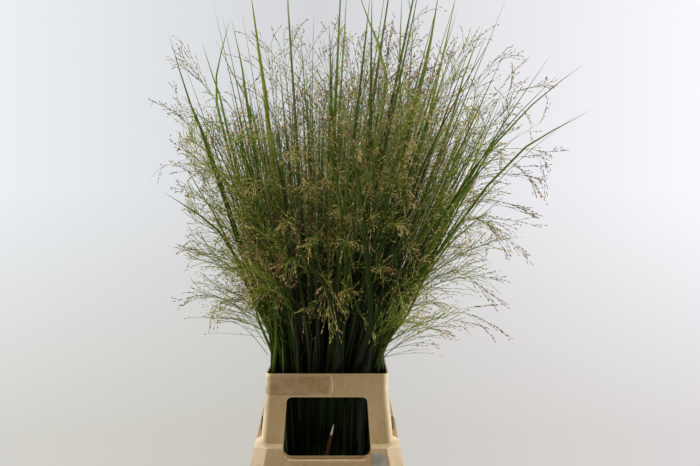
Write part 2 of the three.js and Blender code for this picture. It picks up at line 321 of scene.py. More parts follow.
# where the collar's marks, its painted shade and its painted highlight are, in metres: from, to, and how soft
# their ends are
marksAt = dict(chamferZ=(0.236, 0.292, 0.004), sideGroove=(0.1276, 0.1392, 0.0006),
               frontGroove=(0.1776, 0.1892, 0.0006), grooveZ=(0.264, 0.2745, 0.0008),
               jamb=(0.0006, 0.0055, 0.0008), jambZ=(0.298, 0.354, 0.003),
               lip=(0.1888, 0.194, 0.0004), lipZ=(0.2686, 0.2716, 0.0005),
               patchX=(-0.154, -0.031, 0.0012), patchZ=(0.3905, 0.4255, 0.0015), lineX=(-0.122, -0.02, 0.02),
               lineZ=(0.3893, 0.3912, 0.0006), nickX=(0.0075, 0.0105, 0.0008), nickZ=(0.394, 0.4275, 0.006))
marksEnd = dict(sideGroove=0.13, frontGroove=0.09, lip=0.072, front=-0.15, rib=0.0355, ribHalf=0.0012,
                jamb=0.127, jambHalf=0.0025)


def banded(value, span):
    low, high, soft = span
    return useGroup(within, Value=value, Low=low, High=high, Soft=soft)["Inside"]


def grooveShadeAndLipHighlight(skin, wide, deep, z):
    # painted shade in the sills' grooves, but not on the ribs between them, and a painted highlight on the
    # lip in front
    atSide = banded(wide, marksAt["sideGroove"]) * (deep < marksEnd["sideGroove"])
    atFront = banded(deep, marksAt["frontGroove"]) * (wide < marksEnd["frontGroove"])
    grooveShade = maths(skin.tree, "MAXIMUM", atSide, atFront) * banded(z, marksAt["grooveZ"])
    rib = abs(wide - marksEnd["rib"]) < marksEnd["ribHalf"]
    skin = blend(grooveShade * (1.0 - rib) * markShare["grooveShade"], skin, residueAndPaintedLightLook["grooveShade"])
    # a painted highlight along the top of the lip in front of the groove
    lip = banded(deep, marksAt["lip"]) * banded(z, marksAt["lipZ"]) * (wide < marksEnd["lip"])
    return blend(lip * markShare["lip"], skin, residueAndPaintedLightLook["lip"])


def jambShade(skin, wide, deep, z):
    # painted shade on the long windows' jambs, for the shaded gap behind their thin lip: golden low down and
    # dark above
    fromWall = wide - (z * -0.0833 + 0.1503)
    jamb = banded(fromWall, marksAt["jamb"]) * (abs(deep - marksEnd["jamb"]) < marksEnd["jambHalf"])
    colours = ramp(z / 0.4, (0.79, residueAndPaintedLightLook["gold"]), (0.8, residueAndPaintedLightLook["line"]))
    return blend(jamb * banded(z, marksAt["jambZ"]) * markShare["jamb"], skin, colours)


def bandMarks(skin, x, y, z, uneven, torn):
    # where a label was torn off the band's front: a dull patch over a dark line, and a pale nick beside it
    front = y < marksEnd["front"]
    height = z + torn
    patch = banded(z * -0.09 + x + torn, marksAt["patchX"]) * banded(height, marksAt["patchZ"]) * front
    skin = blend(patch * uneven, skin, residueAndPaintedLightLook["patch"])
    line = banded(height, marksAt["lineZ"]) * banded(x, marksAt["lineX"])
    skin = blend(line * front * markShare["line"], skin, residueAndPaintedLightLook["line"])
    wavy = maths(skin.tree, "SINE", z * 120.0) * 0.0016 + x
    nick = banded(wavy, marksAt["nickX"]) * banded(z, marksAt["nickZ"])
    return blend(nick * front * markShare["nick"], skin, plasticLook["scratch"])


def plasticMaterial(name, residueAndPaintedLight=False):
    material, tree, shader = newMaterial(name, **{"Specular IOR Level": plasticLook["shine"]})
    coordinates = fetch(tree, "TexCoord", "Object")
    x, y, z = split(coordinates)
    marks = useGroup(wear, Vector=coordinates, Amount=1.0)
    skin = blend(marks["Patches"], plasticLook["cream"], plasticLook["worn"])
    skin = blend(marks["Runs"] * markShare["run"], skin, plasticLook["run"])
    speckled = noise(coordinates, 380.0, 2.0)
    skin = blend(((speckled - 0.6) * 5.0).clamped() * markShare["grime"], skin, plasticLook["grime"])
    normal = fetch(tree, "TexCoord", "Normal")
    # painted shade: faces that point in towards the middle, on the inner walls, are darkened to brown
    sideways = fetch(tree, "CombineXYZ", 0, {"X": x, "Y": y})
    innerShade = fetch(tree, "VectorMath", "Value", {0: normal, 1: sideways}, operation="DOT_PRODUCT") < -0.03
    skin = blend(innerShade * markShare["innerShade"], skin, plasticLook["innerShade"])
    facing = dict(zip("XYZ", map(abs, split(normal))))
    # painted shade: faces turned straight out along Y or X are dulled, while the chamfers and tops stay light
    for way, share in plasticLook["shadedFaces"].items():
        skin = blend(((facing[way] - 0.86) * 9.0).clamped() * share, skin, plasticLook["dull"])
    if residueAndPaintedLight:
        # painted shade on the skirt's chamfers, low down
        chamferShade = ((facing["X"] * facing["Y"] - 0.3) * 8.0).clamped() * banded(z, marksAt["chamferZ"])
        skin = blend(chamferShade * markShare["chamferShade"], skin, plasticLook["dull"])
        wide, deep = abs(x), abs(y)
        skin = grooveShadeAndLipHighlight(skin, wide, deep, z)
        skin = jambShade(skin, wide, deep, z)
        skin = bandMarks(skin, x, y, z, marks["Patches"] * 0.5 + 0.35, (speckled - 0.5) * 0.004)
    skin = blend(marks["Scratches"] * markShare["scratch"], skin, plasticLook["scratch"])
    skin = blend(marks["Specks"] * markShare["speck"], skin, plasticLook["scratch"])
    skin.to(shader.inputs["Base Color"])
    rough = marks["Patches"] * 0.18 + plasticLook["roughness"]
    (marks["Scratches"] * 0.15 + rough).to(shader.inputs["Roughness"])
    addRelief(shader, marks["Grain"] + marks["Scratches"] * -1.5, 0.25, 0.0002)
    return material


cardLook = dict(paper=(172, 170, 168), worn=(140, 136, 130), scuff=(96, 90, 84), scuffShare=0.55,
                roughness=0.7)


def cardMaterial():
    material, tree, shader = newMaterial("card", Roughness=cardLook["roughness"])
    coordinates = fetch(tree, "TexCoord", "Object")
    marks = useGroup(wear, Vector=coordinates, Amount=1.0)
    skin = blend(marks["Patches"], cardLook["paper"], cardLook["worn"])
    torn = noise(coordinates, 300.0, 4.0)
    scuffs = ((torn - 0.58) * 7.0).clamped()
    blend(scuffs * cardLook["scuffShare"], skin, cardLook["scuff"]).to(shader.inputs["Base Color"])
    addRelief(shader, torn, 0.4, 0.0002)
    return material


waterLook = dict(clear=(196, 206, 180), cloudy=(170, 176, 140), roughness=0.06, ior=1.33, transmission=0.9)


def waterMaterial():
    material, tree, shader = newMaterial("water", Roughness=waterLook["roughness"], IOR=waterLook["ior"],
                                         **{"Transmission Weight": waterLook["transmission"]})
    coordinates = fetch(tree, "TexCoord", "Object")
    cloud = useGroup(mottle, Vector=coordinates, Scale=12.0, Spread=1.0)["Value"]
    blend(cloud, waterLook["clear"], waterLook["cloudy"]).to(shader.inputs["Base Color"])
    addRelief(shader, noise(coordinates, 26.0, 2.0), 0.2, 0.001)
    return material


# the bucket

bucket = dict(wall=3, height=240, floor=4, bead=2, foot=(128, 178), top=(141, 191), flange=(150, 200), drop=8,
              slope=4, cornerCut=26, bulge=0.6, flangeBulge=0.3, edge=1.1)


def grown(half, by):
    return half[0] + by, half[1] + by


def wallRing(half, cut, bulge, short, long=None, steps=6):
    # a ring round a rectangle whose corners are cut back: straight when bulge is 0, round when it is 1;
    # it may stand at one height on the short walls and at another on the long ones
    points = []
    for signX, signY in ((1, -1), (1, 1), (-1, 1), (-1, -1)):
        for i in range(steps + 1):
            turn = 1 - i / steps if signX * signY > 0 else i / steps
            across = mix(turn, math.sin(turn * math.pi / 2), bulge)
            along = mix(1 - turn, math.cos(turn * math.pi / 2), bulge)
            height = short if long is None else mix(short, long, turn)
            x, y = half[0] - cut + cut * across, half[1] - cut + cut * along
            points.append((signX * x, signY * y, height))
    return points


def makeBucket():
    cut, wall, height, bulge = (bucket[key] for key in ("cornerCut", "wall", "height", "bulge"))
    under = height - bucket["drop"]
    piece = ringedSolid("flowerBucket", [
        wallRing(grown(bucket["foot"], -bucket["bead"]), cut, bulge, 0),
        wallRing(bucket["foot"], cut, bulge, bucket["bead"]),
        wallRing(bucket["top"], cut, bulge, under - bucket["slope"]),
        wallRing(bucket["flange"], cut, bucket["flangeBulge"], under),
        wallRing(bucket["flange"], cut, bucket["flangeBulge"], height),
        wallRing(grown(bucket["top"], -wall), cut, bulge, height),
        wallRing(grown(bucket["foot"], -wall), cut, bulge, bucket["floor"])])
    finishEdges(piece, bucket["edge"])
    place(piece, [plasticMaterial("bucketPlastic")], ["bucket"])


makeBucket()
print("bucket modelled")


# the collar on its rim, with a framed window in each wall

collar = dict(foot=240.3, skirt=(148, 198), ledge=(138, 188), short=291, long=300, body=(125.5, 175.5),
              rise=7, band=(117.5, 167.5), bandAt=394, rim=(117, 167), rimAt=430, cornerCut=25,
              cornerRadius=14, wall=3, edge=0.7)
window = dict(low=275, high=385.4, radiusLow=15, radiusHigh=10, short=(82.5, 76.8), long=(126, 120), jamb=2.5,
              proud=0.5, flush=376, sill=13, innerLip=3, outerLip=2.6, lipDrop=4.7, grooveDrop=9, ribAt=35.5,
              ribHalf=1, reach=12)


def planeBetween(lowHalf, low, highHalf, high, z):
    share = (z - low) / (high - low)
    return mix(lowHalf[0], highHalf[0], share), mix(lowHalf[1], highHalf[1], share)


def skirtAt(z):
    return planeBetween(collar["skirt"], collar["foot"], collar["ledge"], collar["short"], z)


def bodyAt(z):
    return planeBetween(collar["body"], collar["short"] + collar["rise"], collar["band"], collar["bandAt"], z)


def shellRings(inset, radius, foot, top):
    # the collar's outside, or with an inset its inside, from the foot to the rim
    cut, rise, bandAt = collar["cornerCut"], collar["rise"], collar["bandAt"]
    short, long = collar["short"] - inset, collar["long"] - inset
    return [wallRing(grown(collar["skirt"], -inset), cut, 0, foot),
            wallRing(grown(collar["ledge"], -inset), cut, 0, short, long),
            wallRing(grown(collar["body"], -inset), radius, 1, short + rise, long + rise),
            wallRing(grown(collar["band"], -inset), radius, 1, bandAt),
            wallRing(grown(collar["rim"], -inset), radius, 1, top)]


def collarShell():
    radius, wall, foot, top = (collar[key] for key in ("cornerRadius", "wall", "foot", "rimAt"))
    outside = ringedSolid("windowedCollar", shellRings(0, radius, foot, top))
    inside = ringedSolid("inside", shellRings(wall, radius - wall / 2, foot - 1, top + 1))
    combine(outside, inside, "DIFFERENCE")
    return outside


def frameRoom():
    # what the frames may fill: from the body's wall carried on down, out to a steeper plane
    cut, radius, proud = collar["cornerCut"], collar["cornerRadius"], window["proud"]
    bottom = window["low"] - window["sill"]
    room = ringedSolid("room", [
        wallRing(grown(skirtAt(bottom), proud), cut, 0, bottom),
        wallRing(grown(skirtAt(collar["long"]), proud), cut, 0, collar["long"]),
        wallRing(grown(bodyAt(window["flush"]), proud), radius, 1, window["flush"]),
        wallRing(grown(bodyAt(collar["bandAt"]), proud), radius, 1, collar["bandAt"])])
    ends = (bottom - 1, collar["bandAt"] + 1)
    core = [wallRing(grown(bodyAt(z), -collar["wall"]), radius, 1, z) for z in ends]
    combine(room, ringedSolid("core", core), "DIFFERENCE")
    return room


def onWall(side, across, out, z):
    return [(across, -out, z), (out, across, z), (-across, out, z), (-out, -across, z)][side]


def prism(side, outline, near, far):
    rings = [[onWall(side, across, out, z) for across, z in outline] for out in (near, far)]
    return ringedSolid("prism", rings)


def arcPoints(middle, radius, start, steps):
    # a quarter of a circle
    angles = [math.radians(start + 90 * i / steps) for i in range(steps + 1)]
    return [(middle[0] + radius * math.cos(angle), middle[1] + radius * math.sin(angle)) for angle in angles]


def windowOutline(side, grow=0, drop=0, deep=0, steps=6):
    low, high = (half + grow for half in window["long" if side % 2 else "short"])
    bottom, top = window["low"] - drop - deep, window["high"] - drop + grow
    radiusLow, radiusHigh = window["radiusLow"], window["radiusHigh"] + grow
    lower, upper = bottom + radiusLow, top - radiusHigh
    return (arcPoints((low - radiusLow, lower), radiusLow, -90, steps)
            + arcPoints((high - radiusHigh, upper), radiusHigh, 0, steps)
            + arcPoints((radiusHigh - high, upper), radiusHigh, 90, steps)
            + arcPoints((radiusLow - low, lower), radiusLow, 180, steps))


def windowCutters(side, near, far):
    # the opening, the rebate of its lip, and the sill's groove in three stretches between two ribs
    out, low = 0 if side % 2 else 1, window["low"]
    grooveNear = bodyAt(low)[out] - collar["wall"] + window["innerLip"]
    grooveFar = skirtAt(low)[out] + window["proud"] - window["outerLip"]
    cutters = [prism(side, windowOutline(side), near, far),
               prism(side, windowOutline(side, drop=window["lipDrop"]), grooveNear, far)]
    grooveEnd = window["long" if side % 2 else "short"][0] - window["radiusLow"]
    ribAt, ribHalf, grooveLow = window["ribAt"], window["ribHalf"], low - window["grooveDrop"]
    stretches = ((-grooveEnd, -ribAt - ribHalf), (ribHalf - ribAt, ribAt - ribHalf),
                 (ribAt + ribHalf, grooveEnd))
    for left, right in stretches:
        outline = [(left, grooveLow), (right, grooveLow), (right, low), (left, low)]
        cutters.append(prism(side, outline, grooveNear, grooveFar))
    return cutters


def makeCollar():
    piece = collarShell()
    cutters = []
    for side in range(4):
        out = 0 if side % 2 else 1
        near, far = bodyAt(window["high"])[out] - window["reach"], collar["skirt"][out] + window["reach"]
        frameSolid = prism(side, windowOutline(side, grow=window["jamb"], deep=window["sill"]), near, far)
        combine(frameSolid, frameRoom(), "INTERSECT")
        combine(piece, frameSolid, "UNION")
        cutters += windowCutters(side, near, far)
    for cutter in cutters:
        combine(piece, cutter, "DIFFERENCE")
    finishEdges(piece, collar["edge"])
    place(piece, [plasticMaterial("collarPlastic", residueAndPaintedLight=True)], ["collar"])


makeCollar()
print("collar modelled")


# a bare worn card low on the skirt

card = dict(x=98.8, z=266, width=26.5, height=31, thick=0.6, radius=2.5, gap=0.3, worn=0.12, smooth=40)


def makeCard():
    tilt = math.atan2(collar["skirt"][1] - collar["ledge"][1], collar["short"] - collar["foot"])
    middle = -skirtAt(card["z"])[1] - (card["gap"] + card["thick"] / 2) / math.cos(tilt)
    halfX, halfZ = (card[side] / 2 - card["radius"] for side in ("width", "height"))
    rings = []
    for depth, inset in ((-0.5, card["worn"]), (-0.3, 0), (0.3, 0), (0.5, card["worn"])):
        back = depth * card["thick"]
        ring = []
        for signX, signZ, start in ((1, -1, -90), (1, 1, 0), (-1, 1, 90), (-1, -1, 180)):
            corner = signX * halfX, signZ * halfZ
            for across, up in arcPoints(corner, card["radius"] - inset, start, 4):
                ring.append((card["x"] + across, middle + up * math.sin(tilt) + back * math.cos(tilt),
                             card["z"] + up * math.cos(tilt) - back * math.sin(tilt)))
        rings.append(ring)
    piece = ringedSolid("wornCard", rings)
    shadeSmooth(piece, card["smooth"])
    place(piece, [cardMaterial()], ["label"])


makeCard()
print("card modelled")


# grass finishes: every strand carries strip = (across, along, chance) and tone

def stripInputs(tree):
    strip = fetch(tree, "Attribute", "Vector", attribute_name="strip", attribute_type="GEOMETRY")
    across, along, chance = split(strip)
    tone = fetch(tree, "Attribute", "Fac", attribute_name="tone", attribute_type="GEOMETRY")
    return dict(across=across, along=along, chance=chance, tone=tone, spot=fetch(tree, "TexCoord", "Object"))


# how much shade there is: most low in the middle of the sheaf, none at its sides and high up, in metres
shadeLook = dict(floor=0.46, depth=0.58, fade=1.5, mouth=0.42, spread=0.5, mouthHalf=0.085, middle=0.02,
                 sideFrom=0.62, rimAt=0.425, deepest=0.9, lifted=0.6)
shaded, given, result = newGroup("shaded", dict(Vector=None), ["Shade"])
x, y, z = split(given["Vector"])
height = ((z - shadeLook["floor"]) / shadeLook["depth"]).clamped() ** shadeLook["fade"]
sheafHalf = maths(shaded, "MAXIMUM", z - shadeLook["mouth"], 0.0) * shadeLook["spread"]
sheafHalf += shadeLook["mouthHalf"]
atSides = ((abs(x - shadeLook["middle"]) / sheafHalf - shadeLook["sideFrom"]) * 3.0).clamped()
above = ((z - shadeLook["rimAt"]) * 40.0).clamped()
((1.0 - height) * (shadeLook["deepest"] - atSides * above * shadeLook["lifted"])).to(result["Shade"])


def inShade(skin, strip, shading, shader):
    # the finished colour, darkened by its place in the sheaf
    shade = useGroup(shaded, Vector=strip["spot"])["Shade"] * shading
    blend(shade, skin, leafLook["shade"]).to(shader.inputs["Base Color"])


def cloudOn(strip, scale, spread):
    return useGroup(mottle, Vector=strip["spot"], Scale=scale, Spread=spread)["Value"]


def toneOf(strip, cloud, amount):
    return (strip["tone"] + (cloud - 0.5) * amount).clamped()


leafLook = dict(deep=(18, 34, 18), mid=(56, 91, 22), fresh=(134, 165, 38), olive=(164, 158, 44),
                vein=(20, 40, 18), midrib=(150, 168, 96), tip=(160, 124, 70), shade=(12, 20, 10),
                roughness=0.48, shine=0.12)
leafShare = dict(vein=0.22, midrib=0.45, fresh=0.5, tip=0.85)


def leafMaterial(name, shading):
    material, tree, shader = newMaterial(name, **{"Specular IOR Level": leafLook["shine"]})
    strip = stripInputs(tree)
    cloud = cloudOn(strip, 22.0, 0.9)
    green = ramp(toneOf(strip, cloud, 0.5), (0.0, leafLook["deep"]), (0.4, leafLook["mid"]),
                 (0.8, leafLook["fresh"]), (1.0, leafLook["olive"]))
    veins = useGroup(ribs, Across=strip["across"], Count=8.0, Midrib=0.09)
    skin = blend(veins["Ribs"] * leafShare["vein"], green, leafLook["vein"])
    skin = blend(veins["Midrib"] * leafShare["midrib"], skin, leafLook["midrib"])
    skin = blend(strip["along"] ** 2.0 * leafShare["fresh"], skin, leafLook["fresh"])
    dryFrom = strip["chance"] * -0.3 + 1.05
    dry = ((strip["along"] - dryFrom) * 4.0).clamped()
    skin = blend(dry * leafShare["tip"], skin, leafLook["tip"])
    inShade(skin, strip, shading, shader)
    (cloud * 0.25 + leafLook["roughness"]).to(shader.inputs["Roughness"])
    addRelief(shader, veins["Ribs"], 0.35, 0.0004)
    return material


culmLook = dict(dark=(44, 70, 36), green=(62, 88, 32), yellow=(128, 132, 66), streak=(52, 70, 30),
                streakShare=0.2, roughness=0.5, shine=0.1)


def culmMaterial():
    material, tree, shader = newMaterial("culm", Roughness=culmLook["roughness"],
                                         **{"Specular IOR Level": culmLook["shine"]})
    strip = stripInputs(tree)
    skin = ramp(toneOf(strip, cloudOn(strip, 30.0, 1.0), 0.6), (0.0, culmLook["dark"]),
                (0.5, culmLook["green"]), (1.0, culmLook["yellow"]))
    streaks = useGroup(ribs, Across=strip["across"], Count=6.0, Midrib=0.05)["Ribs"]
    inShade(blend(streaks * culmLook["streakShare"], skin, culmLook["streak"]), strip, 1.0, shader)
    addRelief(shader, streaks, 0.3, 0.0003)
    return material


knotLook = dict(dark=(66, 58, 34), brown=(96, 74, 44), pale=(132, 120, 70), roughness=0.6)


def knotMaterial():
    material, tree, shader = newMaterial("culmKnot", Roughness=knotLook["roughness"])
    skin = ramp(cloudOn(stripInputs(tree), 260.0, 1.2), (0.2, knotLook["dark"]), (0.6, knotLook["brown"]),
                (0.9, knotLook["pale"]))
    skin.to(shader.inputs["Base Color"])
    return material


branchLook = dict(green=(58, 94, 12), fresh=(112, 150, 22), yellow=(160, 168, 48), dull=(150, 146, 54),
                  roughness=0.55)


def branchMaterial(name, shading):
    material, tree, shader = newMaterial(name, Roughness=branchLook["roughness"])
    strip = stripInputs(tree)
    skin = ramp(toneOf(strip, cloudOn(strip, 14.0, 1.2), 1.0), (0.0, branchLook["green"]),
                (0.5, branchLook["fresh"]), (0.85, branchLook["yellow"]), (1.0, branchLook["dull"]))
    inShade(skin, strip, shading, shader)
    return material


spikeletLook = dict(dark=(100, 58, 32), brown=(146, 98, 58), tan=(190, 158, 98), straw=(234, 212, 138),
                    green=(138, 158, 50), tipShare=0.6, roughness=0.62)


def spikeletMaterial(name, shading):
    material, tree, shader = newMaterial(name, Roughness=spikeletLook["roughness"])
    strip = stripInputs(tree)
    husk = ramp(toneOf(strip, cloudOn(strip, 9.0, 1.5), 0.8), (0.0, spikeletLook["dark"]),
                (0.3, spikeletLook["brown"]), (0.55, spikeletLook["tan"]), (0.8, spikeletLook["straw"]),
                (1.0, spikeletLook["green"]))
    husk = blend(strip["along"] ** 3.0 * spikeletLook["tipShare"], husk, spikeletLook["dark"])
    inShade(husk, strip, shading, shader)
    return material


# the sheath is brown low down; its near-white upper part and tip are painted light, for the light through the
# back window
sheathLook = dict(foot=(58, 20, 12), brown=(96, 50, 28), pale=(250, 244, 232), tip=(250, 246, 238),
                  streak=(90, 40, 24), streakShare=0.25, roughness=0.7)


def sheathWithPaintedLightMaterial():
    material, tree, shader = newMaterial("drySheath", Roughness=sheathLook["roughness"])
    strip = stripInputs(tree)
    skin = ramp(strip["along"], (0.0, sheathLook["foot"]), (0.62, sheathLook["brown"]),
                (0.69, sheathLook["pale"]), (1.0, sheathLook["tip"]))
    streaks = useGroup(ribs, Across=strip["across"], Count=5.0, Midrib=0.05)["Ribs"]
    skin = blend(streaks * sheathLook["streakShare"], skin, sheathLook["streak"])
    skin.to(shader.inputs["Base Color"])
    return material


# the strands in front of the sheaf take less of its shade
finishes = dict(leaf=leafMaterial("leaf", 1.0), frontLeaf=leafMaterial("frontLeaf", 0.8), culm=culmMaterial(),
                knot=knotMaterial(), branch=branchMaterial("panicleBranch", 0.65),
                frontBranch=branchMaterial("frontBranch", 0.2), spikelet=spikeletMaterial("spikelet", 0.2),
                frontSpikelet=spikeletMaterial("frontSpikelet", 0.0), drySheath=sheathWithPaintedLightMaterial())
print("grass finishes ready")


# the sheaf: where each stem stands and how it fans out of the mouth

sheaf = dict(foot=4.3, mouth=420, soft=60, lean=0.06, cellFill=0.94,
             x=(76, 0.03, 0.21), y=(118, 0.03, 0.165))  # half widths: base, slope, flare
rings = [dict(count=3, r=0.22, half=0.15, turn=30, culm=(740, 830), outer=False),
         dict(count=8, r=0.535, half=0.155, turn=12, culm=(650, 800), outer=False),
         dict(count=13, r=0.865, half=0.155, turn=0, culm=(500, 700), outer=True)]
leafLanes = [(0.62, 0.62), (-0.62, -0.62), (0.62, -0.62), (-0.62, 0.62)]
leafPlan = dict(first=392, lastBelow=80, rise=(420, 620), highest=1265, reach=(0.8, 4.4), arch=(0.1, 0.45),
                steps=5, half=4.6)
paniclePlan = dict(height=(270, 350), branches=7, sway=(0.6, 3.4), nod=0.75, droop=(1.2, 2.6), fall=(40, 130),
                   gap=0.3, at=(0.06, 0.86), uneven=(0, 0.6), turn=90, turned=(-18, 18), reach=(0.6, 0.85),
                   rise=(0.1, 0.3), lift=12, hang=0.25, tone=(0.25, 0.62))
goldenShare, goldenAngle = 0.618034, 2.39996  # spread things evenly along a line and round a disc


def chances(seed):
    # the same repeatable stream of numbers as the solids'
    whole = 0xFFFFFFFF
    state = ((seed + 1) * 0x9E3779B1) & whole

    def draw(low, high):
        nonlocal state
        state = (state + 0x6D2B79F5) & whole
        mixed = ((state ^ (state >> 15)) * (state | 1)) & whole
        mixed ^= (mixed + (((mixed ^ (mixed >> 7)) * (mixed | 61)) & whole)) & whole
        return low + (high - low) * (mixed ^ (mixed >> 14)) / 2 ** 32
    return draw


def openedOut(z):
    # 0 in the pot, then twice the height above the mouth
    above = z - sheaf["mouth"]
    return above + np.hypot(above, sheaf["soft"])


def halfWidth(axis, z):
    base, slope, flare = sheaf[axis]
    return base + slope * z + flare * openedOut(z)


def placeAt(u, v, z):
    # a place in the sheaf: u and v are shares of its half widths
    u, v, z = np.broadcast_arrays(np.asarray(u, float), np.asarray(v, float), np.asarray(z, float))
    x = sheaf["lean"] * openedOut(z) + halfWidth("x", z) * u
    return np.stack([x, halfWidth("y", z) * v, z], axis=-1)


def placeIn(site, a, b, z):
    # a place in a stem's own cell: a outwards and b round the ring, in units of half the cell
    r = site["r"] + np.asarray(a, float) * site["half"]
    angle = site["angle"] + np.asarray(b, float) * site["halfAngle"]
    return placeAt(r * np.cos(angle), r * np.sin(angle), z)


def makeSites():
    sites = []
    for ring in rings:
        for i in range(ring["count"]):
            number = len(sites)
            draw = chances(number)
            angle = math.radians(ring["turn"] + 360 * i / ring["count"])
            halfAngle = sheaf["cellFill"] * math.pi / ring["count"]
            sites.append(dict(r=ring["r"], half=ring["half"], angle=angle, halfAngle=halfAngle,
                              culmTop=draw(*ring["culm"]), lowestLeaf=leafPlan["first"],
                              outer=ring["outer"], draw=draw, rng=np.random.default_rng(500 + number)))
    return sites


def unit(vector):
    return vector / np.linalg.norm(vector)


# strands: one shape modelled once and laid along many paths

def strandShape(name, sides, stations, flat=1.0, fold=0.0):
    # stations are (height, size) from 0 to 1; a last size of 0 is a point
    clearSelection()
    bpy.ops.mesh.primitive_circle_add(vertices=sides, radius=stations[0][1], fill_type="NGON")
    shape = bpy.context.object
    shape.name = name
    bpy.ops.object.mode_set(mode="EDIT")
    bpy.ops.transform.resize(value=(1, flat, 1))
    if fold:
        bm = bmesh.from_edit_mesh(shape.data)
        for vert in bm.verts:
            vert.co.y -= fold * abs(vert.co.x)
        bmesh.update_edit_mesh(shape.data)
    for (lower, width), (upper, nextWidth) in zip(stations, stations[1:]):
        bpy.ops.mesh.extrude_region_move(TRANSFORM_OT_translate={"value": (0, 0, upper - lower)})
        if nextWidth:
            ratio = nextWidth / width
            bpy.ops.transform.resize(value=(ratio, ratio, 1), center_override=(0, 0, 0))
        else:
            bpy.ops.transform.resize(value=(0, 0, 1), center_override=(0, 0, 0))
            bpy.ops.mesh.merge(type="CENTER")
    closeShape()
    mesh = shape.data
    points = np.array([vert.co for vert in mesh.vertices])
    loops = np.array([loop.vertex_index for loop in mesh.loops])
    starts = np.array([face.loop_start for face in mesh.polygons])
    widest = np.abs(points[:, 0]).max()
    bpy.data.meshes.remove(mesh)
    return dict(points=points, loops=loops, starts=starts, across=points[:, 0] / widest / 2 + 0.5)


leafShape = strandShape("leafShape", 4, [(0, 0.5), (0.03, 0.75), (0.1, 0.9), (0.2, 1), (0.32, 0.98),
                                        (0.44, 0.88), (0.56, 0.75), (0.67, 0.6), (0.77, 0.45),
                                        (0.86, 0.31), (0.94, 0.16), (1, 0)], flat=0.07, fold=0.55)
culmShape = strandShape("culmShape", 6, [(i / 12, 1 - 0.5 * i / 12) for i in range(13)])
knotShape = strandShape("knotShape", 6, [(0, 0.9), (0.3, 1.25), (0.7, 1.25), (1, 0.9)])
axisShape = strandShape("axisShape", 5, [(0, 1), (0.15, 0.9), (0.3, 0.8), (0.45, 0.68), (0.6, 0.56),
                                        (0.75, 0.44), (0.9, 0.3), (1, 0)])
branchShape = strandShape("branchShape", 3, [(0, 1), (0.25, 0.9), (0.5, 0.8), (0.75, 0.65), (1, 0)])
twigShape = strandShape("twigShape", 3, [(0, 1), (1, 0)])
spikeletShape = strandShape("spikeletShape", 3, [(0, 0.12), (0.42, 1), (1, 0)])


def strandFrames(paths, facing):
    # the ways across and up at each point of each path
    along = np.gradient(paths, axis=1)
    along /= np.linalg.norm(along, axis=2, keepdims=True) + 1e-12
    facing = np.broadcast_to(facing[:, None, :], paths.shape)
    lift = facing - (facing * along).sum(axis=2, keepdims=True) * along
    lift /= np.linalg.norm(lift, axis=2, keepdims=True) + 1e-12
    return np.cross(lift, along), lift


def layAlong(bundle, shape, paths, girth, facing, finish, tone, chance=0.5):
    # one copy of the shape along each path, girth times as wide; any value is one for all or one each
    paths = np.asarray(paths, float)
    count, steps = paths.shape[:2]
    if not count:
        return

    def each(value):
        return np.broadcast_to(np.asarray(value, float), (count,))
    across, lift = strandFrames(paths, np.broadcast_to(np.asarray(facing, float), (count, 3)))
    height = shape["points"][:, 2] * (steps - 1)
    low = np.minimum(height.astype(int), steps - 2)
    share = (height - low)[None, :, None]
    girth = each(girth)[:, None, None]

    def between(values):
        return values[:, low] * (1 - share) + values[:, low + 1] * share
    side = shape["points"][None, :, 0, None] * girth
    up = shape["points"][None, :, 1, None] * girth
    points = between(paths) + side * between(across) + up * between(lift)
    vertexCount = points.shape[1]
    offsets = np.arange(count) * vertexCount + bundle["vertices"]
    loopOffsets = np.arange(count) * len(shape["loops"]) + bundle["loopCount"]
    strip = np.empty((count, vertexCount, 3))
    strip[:, :, 0] = shape["across"]
    strip[:, :, 1] = shape["points"][:, 2]
    strip[:, :, 2] = each(chance)[:, None]
    bundle["points"].append(points.reshape(-1, 3))
    bundle["strip"].append(strip.reshape(-1, 3))
    bundle["tone"].append(np.repeat(each(tone), vertexCount))
    bundle["loops"].append((shape["loops"][None, :] + offsets[:, None]).ravel())
    bundle["starts"].append((shape["starts"][None, :] + loopOffsets[:, None]).ravel())
    if finish not in bundle["finishes"]:
        bundle["finishes"].append(finish)
    bundle["finish"].append(np.full(count * len(shape["starts"]), bundle["finishes"].index(finish)))
    bundle["vertices"] += count * vertexCount
    bundle["loopCount"] += count * len(shape["loops"])


def newBundle():
    lists = {key: [] for key in ("points", "strip", "tone", "loops", "starts", "finish", "finishes")}
    return dict(lists, vertices=0, loopCount=0)


